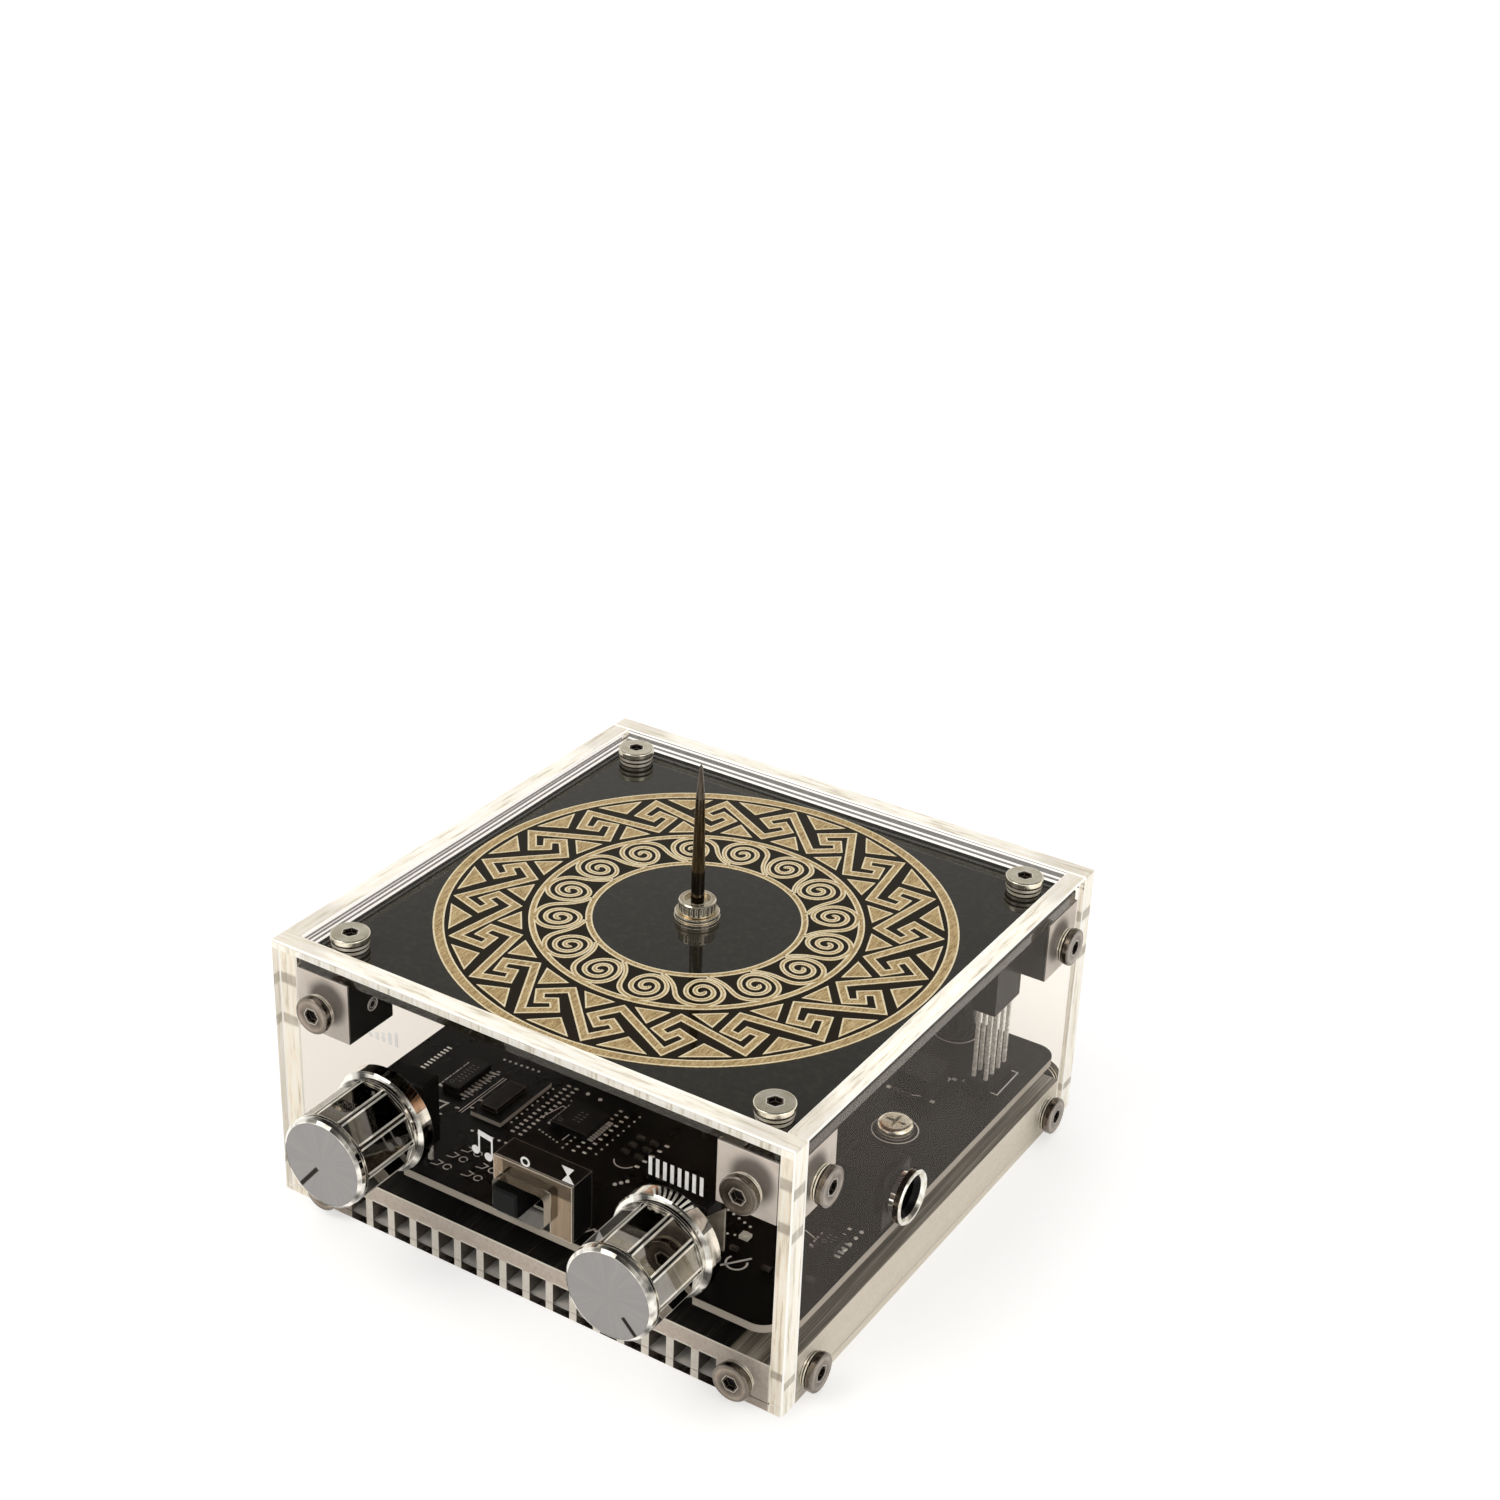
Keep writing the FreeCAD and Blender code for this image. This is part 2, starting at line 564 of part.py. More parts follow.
# ---------------------------------------------------------------- header between board and plate
HEADER = (43.6, 33.85)
ROWS = [(HEADER[0] + 1.27 * i, HEADER[1] + 1.27 * j) for i in (-1, 1) for j in (-3, -1, 1, 3)]
hx, hy = HEADER
base = box(hx - 2.54, hx + 2.54, hy - 5.08, hy + 5.08, BOARD_TOP, BOARD_TOP + 2.5)
socket = box(hx - 2.54, hx + 2.54, hy - 5.08, hy + 5.08, 33.0, PLATE_BOTTOM - 0.3)
pins = []
for x, y in ROWS:
    pin_box = box(x - 0.32, x + 0.32, y - 0.32, y + 0.32, board_bottom - 1.2, 39.0)
    pins.append(pin_box)
    base = base.cut(box(x - 0.32, x + 0.32, y - 0.32, y + 0.32, 14, 19))
    socket = socket.cut(box(x - 0.36, x + 0.36, y - 0.36, y + 0.36, 32, 39.5))
save("header_base", base)
save("header_socket", socket)
save("header_pins", pins)


# ---------------------------------------------------------------- parts on the board
def chip(x, y, width, depth, height):
    body = Part.makeBox(width, depth, height - 0.1, V(x - width / 2, y - depth / 2, BOARD_TOP + 0.1))
    return body.makeChamfer(0.15, [e for e in body.Edges if e.BoundBox.ZMin > BOARD_TOP + 0.5])


def leg_row(x, y0, pitch_y, count, reach):
    legs = []
    for i in range(count):
        y = y0 + i * pitch_y
        inner_x = x if reach > 0 else x + reach
        legs.append(box(inner_x, inner_x + abs(reach), y - 0.2, y + 0.2, BOARD_TOP, BOARD_TOP + 0.25))
    return legs


save("control_chip", chip(-35.5, -22.5, 4.0, 10.0, 1.6))
save("signal_chip", chip(-9.5, -21.5, 8.0, 8.0, 1.5))
save("driver_chip", chip(44.6, -27.5, 3.9, 5.0, 1.6))
chip_legs = leg_row(-33.5, -26.9, 1.1, 9, 1.3) + leg_row(-37.5, -26.9, 1.1, 9, -1.3)
chip_legs += leg_row(-5.5, -24.7, 0.8, 9, 1.1) + leg_row(-13.5, -24.7, 0.8, 9, -1.1)
chip_legs += leg_row(46.55, -29.4, 1.27, 4, 1.1) + leg_row(42.65, -29.4, 1.27, 4, -1.1)
save("chip_legs", chip_legs)
save("wireless_board", box(-28.0, -21.0, -31.0, -15.0, BOARD_TOP, BOARD_TOP + 0.9))
save("wireless_shield", box(-27.0, -23.4, -29.0, -20.0, BOARD_TOP + 0.9, BOARD_TOP + 1.9))

inductor = box(29.8, 37.8, 21.3, 29.3, BOARD_TOP, BOARD_TOP + 4.0)
upright = [e for e in inductor.Edges if e.BoundBox.ZLength > 3]
save("inductor", inductor.makeChamfer(1.0, upright))


def can_capacitor(x, y, radius, height):
    can = Part.makeCylinder(radius, height, V(x, y, BOARD_TOP + 0.2))
    can = can.makeFillet(0.5, [e for e in can.Edges if isinstance(e.Curve, Part.Circle)])
    ring = tube(x, y, BOARD_TOP + 1.6, UP, radius + 1, radius - 0.25, 0.5)
    return can.cut(ring)


save("capacitors", [can_capacitor(*can) for can in CAPACITORS])

small = []
for x, y in [(33.4, 20.0), (31.4, 20.0), (2.5, -24.0), (2.5, -21.5), (2.5, -19.0), (5.5, -24.0),
             (5.5, -21.5), (5.5, -19.0), (-14.5, -36.0), (-11.5, -36.0), (12.5, -30.0), (12.5, -27.0),
             (41.5, -37.5), (44.0, -37.5), (46.5, -37.5), (34.0, -36.0), (-44.0, -30.0), (-44.0, -27.0)]:
    small.append(box(x - 0.8, x + 0.8, y - 0.45, y + 0.45, BOARD_TOP, BOARD_TOP + 0.6))
save("small_parts", small)

led = fuse([box(33.0, 34.8, -33.0, -31.4, BOARD_TOP, BOARD_TOP + 0.7),
            rod(33.9, -32.2, BOARD_TOP + 0.7, UP, 0.65, 0.25)])
save("status_led", led)

transistor_tabs = []
transistor_bodies = []
transistor_legs = []
for x, y in TAB_SCREWS:
    tab = box(x - 5.0, x + 5.0, 8.0, 25.0, SINK_TOP, SINK_TOP + TAB_T)
    transistor_tabs.append(tab.cut(rod(x, y, SINK_TOP, UP, 1.8, 2.0)))
    transistor_bodies.append(box(x - 5.0, x + 5.0, 8.0, 17.2, SINK_TOP + TAB_T, SINK_TOP + 4.4))
    for shift in (-2.54, 0.0, 2.54):
        flat = box(x + shift - 0.4, x + shift + 0.4, 4.6, 8.0, SINK_TOP + 2.2, SINK_TOP + 2.8)
        rise = box(x + shift - 0.4, x + shift + 0.4, 4.6, 5.2, SINK_TOP + 2.8, BOARD_TOP + 0.6)
        transistor_legs.append(fuse([flat, rise]))
save("transistor_tabs", transistor_tabs)
save("transistor_bodies", transistor_bodies)
save("transistor_legs", transistor_legs)

# The board, with the holes of every leg and pin that passes through it
for leg in pot_legs + switch_legs + pins + transistor_legs:
    board = board.cut(leg)
save("main_board", board)

# ---------------------------------------------------------------- marks on the front panel
MARK_T = 0.06


def mark(points):
    """Flat printed shape on the front face, from points (x, z)."""
    wire = Part.makePolygon([V(x, -half, z) for x, z in points + points[:1]])
    return Part.Face(wire).extrude(V(0, -MARK_T, 0))


def bar(x0, x1, z0, z1):
    return mark([(x0, z0), (x1, z0), (x1, z1), (x0, z1)])


marks = []
for i in range(8):
    marks.append(bar(27.2 + 1.45 * i, 27.9 + 1.45 * i, 38.9, 42.6))
for i in range(5):
    marks.append(bar(-32.6 + 1.45 * i, -31.9 + 1.45 * i, 43.0, 43.9 + 0.5 * i))
heads = [rod(x, -half, z, FRONT, 0.85, MARK_T) for x, z in ((-9.2, 28.4), (-6.4, 27.9))]
stems = [bar(-8.6, -8.25, 28.4, 32.8), bar(-5.8, -5.45, 27.9, 32.3)]
beam = mark([(-8.6, 31.8), (-8.6, 32.9), (-5.45, 32.4), (-5.45, 31.3)])
marks.append(fuse(heads + stems + [beam]))
ring = tube(1.6, -half, 30.3, FRONT, 1.0, 0.6, MARK_T)
marks.append(ring)
hourglass = [(9.4, 33.0), (12.0, 33.0), (10.85, 31.4), (12.0, 29.8), (9.4, 29.8), (10.55, 31.4)]
marks.append(mark(hourglass))
save("front_marks", marks)
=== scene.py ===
import json
import math

import bmesh
import bpy
from mathutils import Matrix, Vector


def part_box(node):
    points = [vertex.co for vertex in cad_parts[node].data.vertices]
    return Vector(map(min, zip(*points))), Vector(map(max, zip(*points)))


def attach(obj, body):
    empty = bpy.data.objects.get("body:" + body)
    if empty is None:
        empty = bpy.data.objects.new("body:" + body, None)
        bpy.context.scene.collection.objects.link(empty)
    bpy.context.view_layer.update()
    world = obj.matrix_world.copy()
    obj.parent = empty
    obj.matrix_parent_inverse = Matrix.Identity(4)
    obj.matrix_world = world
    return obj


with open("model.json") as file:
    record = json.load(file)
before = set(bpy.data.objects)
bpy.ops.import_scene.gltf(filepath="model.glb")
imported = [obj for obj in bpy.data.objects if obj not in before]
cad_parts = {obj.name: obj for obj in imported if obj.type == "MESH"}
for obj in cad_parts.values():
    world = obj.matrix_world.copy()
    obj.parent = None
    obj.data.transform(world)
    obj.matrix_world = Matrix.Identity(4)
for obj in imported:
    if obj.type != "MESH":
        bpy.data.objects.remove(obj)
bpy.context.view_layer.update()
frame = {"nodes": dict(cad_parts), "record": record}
NODES = frame["nodes"]
MM = 0.001

# Levels and places in millimetres, from the CAD frame where it gives them
BOARD_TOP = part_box("main_board")[1].z / MM
BOARD_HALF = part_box("main_board")[1].x / MM
SINK_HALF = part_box("heatsink")[1].x / MM
CASE_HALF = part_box("rear_panel")[1].y / MM
CASE_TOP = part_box("rear_panel")[1].z / MM
INNER = -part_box("left_panel")[0].y / MM
PLATE_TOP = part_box("top_plate")[1].z / MM
WINDOW_TOP = 4.4            # top of the heatsink's gaps
GAP_FIRST = -40.5           # left edge of its first gap
GAP_PITCH = 5.16
GAP_WIDTH = 3.6
SINK_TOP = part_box("heatsink")[1].z / MM
SINK_BORDER = 8.0           # its brushed border, on the left and right
LEFT_KNOB = (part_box("left_knob")[0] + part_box("left_knob")[1]) / 2 / MM
RIGHT_KNOB = (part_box("right_knob")[0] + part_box("right_knob")[1]) / 2 / MM
INLET = (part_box("inlet_sleeve")[0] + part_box("inlet_sleeve")[1]) / 2 / MM

# Camera
AZIMUTH = 31.418
ELEVATION = 27.189
ROLL = 2.230
DISTANCE = 479.58
ASIDE = (11.635, 77.140)    # how far the camera stands right of and above the line to the origin
LENS = 58.946
SENSOR = 36.0

# Stage and light, in metres and watts
FLOOR_REACH = 6.0
FLOOR_DROP = 0.0002
FLOOR_LIFT = 0.46           # brings the lit floor up to white
AMBIENT = 0.70
LAMP_TINT = (1.0, 0.97, 0.93)
SOFTBOXES = [("key", (-0.55, -0.75, 1.05), 0.7, 5.0), ("fill", (1.25, -0.35, 0.5), 0.8, 3.2)]

# Finish
WHITE = (1.0, 1.0, 1.0)
# colour of the painted highlights on metal edges
CREAM_HIGHLIGHT = (0.92, 0.88, 0.80)
SHEET_IOR = 1.49
MIRROR_POWER = 2.6          # weakens the mirroring of the clear sheets, except near grazing
SIDE_PAINTED_GLOW = 0.020           # painted glow standing in for room light that the fine scratches of the side panels scatter
CLEAR_TINT = (0.972, 0.958, 0.938)
# painted shade: a darker tint for the left panel than for the others
LEFT_SHADED_TINT = (0.905, 0.885, 0.865)
EDGE_GLOW = 0.29            # painted glow standing in for light that a sheet pipes out of its sawn edges
CUT_DEPTH = 0.4             # what is this near a sheet's end belongs to its sawn edge
REFLECTION_BANDS = [(46.2, 1.5), (37.5, 1.4), (6.6, 1.1)]    # painted dark reflections of the blocks and screws, as height and half width, on the upright ends
LIP = 1.7                   # cream band under the front panel's top edge
DARK_LINE_PITCH = 0.95          # pitch of the dark lines inside the rear and left panels, above the plate

# Screws
SCREW_AT = 45.0             # from the middle, before the shift of those in the panels
SCREW_X_SHIFT = 1.1
SCREW_Y_SHIFT = -1.5
SIDE_SCREW_Z = 44.0
BASE_SCREW_Z = 5.0
SOCKET_R = 1.6
HEAD_R = 3.65
SOCKET_DEPTH = 1.0
HEAD_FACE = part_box("side_screws")[1].y / MM
PLATE_HEAD_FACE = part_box("plate_screws")[1].z / MM
COLLAR_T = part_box("side_screw_collars")[1].y / MM - CASE_HALF
PLATE_COLLAR_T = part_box("plate_screw_collars")[1].z / MM - PLATE_TOP

# Knobs
RIBS = 10
GROOVE_HALF = 0.28          # half width of the grooves between the ribs
LINE_WIDTH = 0.36           # painted highlight line on each side of a groove
RIB_ENDS = (-71.9, -60.1)
LEFT_MARK = 219.0           # pointers, clockwise from the top
LEFT_MARK_START = 1.6
RIGHT_MARK = 136.0
RIGHT_MARK_START = 4.2
MARK_END = 7.95
MARK_WIDTH = 0.84

# Details
BOARD_SCREWS = [(37.0, 9.0), (-37.0, 9.0), (12.0, 42.0), (-20.0, 42.0)]
ORNAMENT = (20.7, 46.6)     # radii between which the plate is dark brown and dull
SLOT = (16.5, 24.5)         # bottom and top of the lever's slot in the front panel
SLOT_HALF = 6.0
BAR_BOTTOM = 23.8           # the upper bar of the switch frame, with a painted dark reflection
BAR_LEFT = -5.0
BLOCK_HALF = 6.0
BORDER = 0.32               # outline of the gold shapes
BORDER_LIFT = 0.008
INLET_BORE = 3.3
INLET_GIRTH = 5.1           # radius beyond which the flange is seen from its side
INLET_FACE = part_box("inlet_sleeve")[1].x / MM
INK_GAIN = 1.5              # widens every silk line
CANS = [(30.5, 45.3, 4.0, 15.0), (20.5, 45.3, 4.0, 15.0), (-40.0, 40.0, 5.0, 20.0)]   # place, radius, height
LIDS_ABOVE = 29.0           # level below the capacitors' lids
WELD = 0.0005               # points this near each other are joined
CAD_WELD = 0.002
CORNERS = ((-1, -1), (1, -1), (1, 1), (-1, 1))

EAST = Vector((1.0, 0.0, 0.0))
NORTH = Vector((0.0, 1.0, 0.0))
UP = Vector((0.0, 0.0, 1.0))


# -------------------------------- shader helpers
def put(socket, value):
    """The socket's own value; a colour is given as red, green and blue."""
    socket.default_value = (*value, 1.0) if socket.type == "RGBA" else value


def add(tree, kind, inputs=None, **settings):
    """One shader node; each input is a value or the socket that feeds it."""
    made = tree.nodes.new("ShaderNode" + kind)
    for name, value in settings.items():
        setattr(made, name, value)
    for name, value in (inputs or {}).items():
        if isinstance(value, bpy.types.NodeSocket):
            tree.links.new(value, made.inputs[name])
        else:
            put(made.inputs[name], value)
    return made


def surface(name, **inputs):
    """New material with one Principled shader: returns the material, its tree and the shader."""
    made = bpy.data.materials.new(name)
    made.use_nodes = True
    tree = made.node_tree
    shader = tree.nodes["Principled BSDF"]
    for socket, value in inputs.items():
        put(shader.inputs[socket.replace("_", " ")], value)
    return made, tree, shader


def feed(tree, shader, **sockets):
    """Leads sockets to the shader's inputs of these names."""
    for name, source in sockets.items():
        tree.links.new(source, shader.inputs[name.replace("_", " ")])


def close(tree, shader):
    """Leads the last shader to the material's output."""
    tree.links.new(shader.outputs[0], tree.nodes["Material Output"].inputs["Surface"])


def mixed(tree, factor, a, b):
    return add(tree, "MixShader", {0: factor, 1: a.outputs[0], 2: b.outputs[0]})


def summed(tree, a, b):
    return add(tree, "AddShader", {0: a.outputs[0], 1: b.outputs[0]})


def maths(tree, operation, a, b=0.0, clamp=False):
    return add(tree, "Math", {0: a, 1: b}, operation=operation, use_clamp=clamp).outputs[0]


def minus(tree, a, b):
    return maths(tree, "SUBTRACT", a, b)


def times(tree, a, b):
    """Product, which for two masks is 1 where both are."""
    return maths(tree, "MULTIPLY", a, b)


def either_of(tree, a, b):
    """Larger value, which for two masks is 1 where either is."""
    return maths(tree, "MAXIMUM", a, b)


def above(tree, value, limit):
    return maths(tree, "GREATER_THAN", value, limit)


def below(tree, value, limit):
    return maths(tree, "LESS_THAN", value, limit)


def between(tree, value, low, high):
    return times(tree, above(tree, value, low), below(tree, value, high))


def size_of(tree, value):
    return maths(tree, "ABSOLUTE", value)


def at_face(tree, value, level, near=0.05):
    """1 on the two faces at plus and minus level."""
    return above(tree, size_of(tree, value), level - near)


def distance(tree, a, b):
    """Length of the vector (a, b)."""
    return maths(tree, "SQRT", maths(tree, "ADD", times(tree, a, a), times(tree, b, b)))


def axes(tree, vector):
    return add(tree, "SeparateXYZ", {0: vector}).outputs[:]


def place(tree):
    """Object position in metres, for textures."""
    return add(tree, "TexCoord").outputs["Object"]


def millimetres(tree, where):
    """x, y and z of a position, in millimetres, for masks."""
    return axes(tree, add(tree, "VectorMath", {0: where, "Scale": 1 / MM}, operation="SCALE").outputs[0])


def towards(tree, axis):
    """How far the surface faces along one axis, from -1 to 1."""
    return axes(tree, add(tree, "NewGeometry").outputs["Normal"])[axis]


def stretched(tree, vector, scale):
    return add(tree, "Mapping", {"Vector": vector, "Scale": scale}).outputs[0]


def noise(tree, vector, scale, detail=3.0, rough=0.55):
    inputs = {"Vector": vector, "Scale": scale, "Detail": detail, "Roughness": rough}
    return add(tree, "TexNoise", inputs).outputs["Fac"]


def ramp(tree, factor, stops):
    """Colour ramp through (place, colour) stops."""
    made = add(tree, "ValToRGB", {"Fac": factor})
    band = made.color_ramp
    while len(band.elements) < len(stops):
        band.elements.new(0.5)
    for element, (at, tint) in zip(band.elements, stops):
        element.position = at
        element.color = (*tint, 1.0)
    return made.outputs["Color"]


def tones(tree, factor, dark, light, low=0.35, high=0.65):
    """Two colours that a noise runs between."""
    return ramp(tree, factor, [(low, dark), (high, light)])


def blend(tree, factor, a, b):
    return add(tree, "Mix", {0: factor, 6: a, 7: b}, data_type="RGBA").outputs[2]


def spread(tree, factor, low, high):
    return add(tree, "MapRange", {"Value": factor, "To Min": low, "To Max": high}).outputs[0]


def fade(tree, value, start, end, low, high):
    """Smooth change from low at start to high at end."""
    inputs = {"Value": value, "From Min": start, "From Max": end, "To Min": low, "To Max": high}
    return add(tree, "MapRange", inputs, interpolation_type="SMOOTHSTEP").outputs[0]


def rim(tree, radius, gain=5.0):
    """1 along sharp edges, 0 on the faces; the radius is in millimetres."""
    soft = add(tree, "Bevel", {"Radius": radius * MM}, samples=6).outputs[0]
    flat = add(tree, "NewGeometry").outputs["Normal"]
    dot = add(tree, "VectorMath", {0: soft, 1: flat}, operation="DOT_PRODUCT").outputs["Value"]
    return maths(tree, "MULTIPLY", minus(tree, 1.0, dot), gain, clamp=True)


def bump(tree, shader, height, depth, strength):
    """Relief of a depth in millimetres."""
    made = add(tree, "Bump", {"Height": height, "Distance": depth * MM, "Strength": strength})
    tree.links.new(made.outputs[0], shader.inputs["Normal"])


def highlit_metal(tree, shader, face, highlit, edge):
    """Metal with a painted highlight: another colour, and less mirroring, along the highlit mask."""
    feed(tree, shader, Base_Color=blend(tree, highlit, face, edge), Metallic=spread(tree, highlit, 1.0, 0.2))


def from_side_screw(tree, x, y, z, middle_z):
    """Distance on a panel's outside from the screw axes at height middle_z."""
    across = size_of(tree, minus(tree, x, SCREW_X_SHIFT))
    deep = size_of(tree, minus(tree, y, SCREW_Y_SHIFT))
    run = maths(tree, "ADD", times(tree, at_face(tree, y, INNER), across),
                times(tree, at_face(tree, x, INNER), deep))
    return distance(tree, minus(tree, run, SCREW_AT), minus(tree, z, middle_z))


# -------------------------------- materials
def clear_acrylic(name, thin, end, tint, painted_glow=0.0, lip=0.0, dark_lines=False, slot=False):
    """Polished clear sheet, thin along the object axis given as 0 or 1, with sawn ends and top edge.

    Lamps and soft light pass straight through to what is inside. The sheet mirrors less than plain
    acrylic does when seen square on, as coated sheet does. The bottom edge and the holes are polished.
    """
    made, tree, unused = surface(name)
    tree.nodes.remove(unused)
    where = place(tree)
    x, y, z = millimetres(tree, where)
    through = add(tree, "BsdfRefraction", {"Color": tint, "IOR": SHEET_IOR, "Roughness": 0.0})
    mirror = add(tree, "BsdfGlossy", {"Color": WHITE, "Roughness": 0.0})
    bounce = maths(tree, "POWER", add(tree, "Fresnel", {"IOR": SHEET_IOR}).outputs[0], MIRROR_POWER)
    glass = mixed(tree, bounce, through, mirror)
    # painted glow: faint emission standing in for room light scattered by fine scratches
    if painted_glow:
        glass = summed(tree, glass, add(tree, "Emission", {"Color": (1.0, 0.87, 0.74), "Strength": painted_glow}))

    facing = size_of(tree, towards(tree, thin))
    along = size_of(tree, x if thin == 1 else y)
    on_top = above(tree, z, CASE_TOP - CUT_DEPTH)
    upright = below(tree, z, CASE_TOP - CUT_DEPTH)
    outer = either_of(tree, above(tree, along, end - CUT_DEPTH), on_top)
    sawn = times(tree, outer, below(tree, facing, 0.5))
    eased = times(tree, outer, between(tree, facing, 0.5, 0.95))
    long_way = (0.10, 1.0, 1.0) if thin == 1 else (1.0, 0.10, 1.0)
    level_cut = noise(tree, stretched(tree, where, long_way), 1300.0)
    upright_cut = noise(tree, stretched(tree, where, (1.0, 1.0, 0.07)), 1500.0)
    streaks = maths(tree, "ADD", times(tree, upright, upright_cut), times(tree, on_top, level_cut))
    cloud = noise(tree, stretched(tree, where, long_way), 420.0, 2.0)
    cream = ramp(tree, streaks, [(0.32, (0.66, 0.60, 0.49)), (0.46, (0.92, 0.87, 0.76)),
                                 (0.64, (0.99, 0.965, 0.90))])
    # painted reflection: dark bands where the blocks and screws are reflected in the upright ends
    for level, half in REFLECTION_BANDS:
        reflected_dark = fade(tree, size_of(tree, minus(tree, z, level)), 0.5 * half, half, 0.75, 0.0)
        reflected_dark = times(tree, times(tree, reflected_dark, upright), spread(tree, cloud, 0.4, 1.0))
        cream = blend(tree, reflected_dark, cream, (0.20, 0.165, 0.125))
    # painted shade: the top edge darker and browner towards each corner
    corner = times(tree, fade(tree, along, end - 15.0, end - 9.0, 0.0, 0.42), on_top)
    cream = blend(tree, corner, cream, (0.47, 0.41, 0.34))
    cream = blend(tree, eased, cream, (1.0, 0.99, 0.95))
    matt = add(tree, "BsdfDiffuse", {"Color": cream})
    glow = add(tree, "BsdfTranslucent", {"Color": cream})
    # painted glow from the sawn edges
    piped = add(tree, "Emission", {"Color": cream, "Strength": EDGE_GLOW})
    cut = summed(tree, mixed(tree, 0.12, matt, glow), piped)
    milky = either_of(tree, times(tree, sawn, spread(tree, cloud, 0.82, 1.0)), times(tree, eased, 0.9))
    if lip:
        band = above(tree, z, CASE_TOP - lip)
        milky = either_of(tree, milky, times(tree, band, spread(tree, cloud, 0.55, 0.95)))
    sheet = mixed(tree, milky, glass, cut)
    if dark_lines:
        wave = maths(tree, "SINE", times(tree, z, 2.0 * math.pi / DARK_LINE_PITCH))
        band = times(tree, between(tree, z, PLATE_TOP + 0.1, CASE_TOP - 0.9), above(tree, facing, 0.95))
        marks = times(tree, times(tree, band, above(tree, wave, -0.1)), 0.8)
        shade = tones(tree, streaks, (0.05, 0.045, 0.04), (0.16, 0.145, 0.13))
        sheet = mixed(tree, marks, sheet, add(tree, "BsdfDiffuse", {"Color": shade}))
    if slot:
        wall = times(tree, below(tree, facing, 0.5), below(tree, size_of(tree, x), SLOT_HALF))
        wall = times(tree, times(tree, wall, between(tree, z, *SLOT)), 0.85)
        # painted light and shade in the lever's slot: pale side walls, dark floor and roof
        level = size_of(tree, towards(tree, 2))
        shade = blend(tree, level, (0.80, 0.74, 0.62), (0.045, 0.036, 0.026))
        sheet = mixed(tree, wall, sheet, add(tree, "BsdfDiffuse", {"Color": shade}))
    clear = add(tree, "BsdfTransparent", {"Color": (0.95, 0.935, 0.915)})
    light = add(tree, "LightPath").outputs
    soft = mixed(tree, light["Is Diffuse Ray"], sheet, clear)
    close(tree, mixed(tree, light["Is Shadow Ray"], soft, clear))
    return made


def black_plate():
    """Glossy black sheet with dust, dull and dark brown between the radii of the ornament."""
    made, tree, shader = surface("black_plate", IOR=1.5)
    where = place(tree)
    x, y = millimetres(tree, where)[:2]
    ornament_zone = between(tree, distance(tree, x, y), *ORNAMENT)
    dust = noise(tree, where, 900.0, 4.0)
    bare = tones(tree, dust, (0.014, 0.0125, 0.009), (0.030, 0.027, 0.020), 0.45, 0.80)
    feed(tree, shader,
         Base_Color=blend(tree, ornament_zone, bare, (0.013, 0.0085, 0.0035)),
         Specular_IOR_Level=spread(tree, ornament_zone, 0.5, 0.13),
         Roughness=spread(tree, noise(tree, where, 40.0, 2.0), 0.004, 0.018))
    return made


def gold_print(name, dark, mid, light, scale, metal):
    """Gold ink with a coarse grain and faint lines."""
    made, tree, shader = surface(name, Metallic=metal)
    where = place(tree)
    grain = noise(tree, where, scale, 2.0)
    lines = noise(tree, stretched(tree, where, (1.0, 0.18, 1.0)), scale * 0.7, 2.0)
    fleck = times(tree, maths(tree, "ADD", grain, lines), 0.5)
    feed(tree, shader,
         Base_Color=ramp(tree, fleck, [(0.36, dark), (0.50, mid), (0.64, light)]),
         Roughness=spread(tree, grain, 0.16, 0.34))
    bump(tree, shader, fleck, 0.03, 0.25)
    return made


def plated(name, dark, light, edge, low_rough, high_rough, highlight_width=0.22):
    """Plated metal with stains, a fine grain and painted highlights on its edges."""
    made, tree, shader = surface(name)
    where = place(tree)
    fine = noise(tree, where, 2600.0, 2.0)
    face = tones(tree, noise(tree, where, 330.0, 4.0), dark, light, 0.33, 0.67)
    highlit_metal(tree, shader, face, rim(tree, highlight_width, 9.0), edge)
    feed(tree, shader, Roughness=spread(tree, fine, low_rough, high_rough))
    bump(tree, shader, fine, 0.03, 0.25)
    return made


def screw_heads():
    """Dull nickel heads with stains, painted shade and reflection in rings, darker round the socket and just
    inside the edge, and painted highlights on the edge.
    """
    made, tree, shader = surface("screw_heads")
    where = place(tree)
    x, y, z = millimetres(tree, where)
    reach = maths(tree, "MINIMUM", from_side_screw(tree, x, y, z, SIDE_SCREW_Z),
                  from_side_screw(tree, x, y, z, BASE_SCREW_Z))
    # painted shade and reflection: darker and lighter rings across the head
    rings = ramp(tree, times(tree, reach, 1.0 / HEAD_R), [
        (0.40, (0.07, 0.052, 0.040)), (0.60, (0.17, 0.135, 0.105)),
        (0.78, (0.36, 0.30, 0.245)), (0.93, (0.10, 0.078, 0.060))])
    stain = noise(tree, where, 360.0, 4.0)
    shade = tones(tree, stain, (0.07, 0.055, 0.042), (0.42, 0.36, 0.30), 0.35, 0.68)
    highlit_metal(tree, shader, blend(tree, 0.35, rings, shade), rim(tree, 0.30, 10.0), CREAM_HIGHLIGHT)
    feed(tree, shader, Roughness=spread(tree, noise(tree, where, 2600.0, 2.0), 0.16, 0.28))
    return made


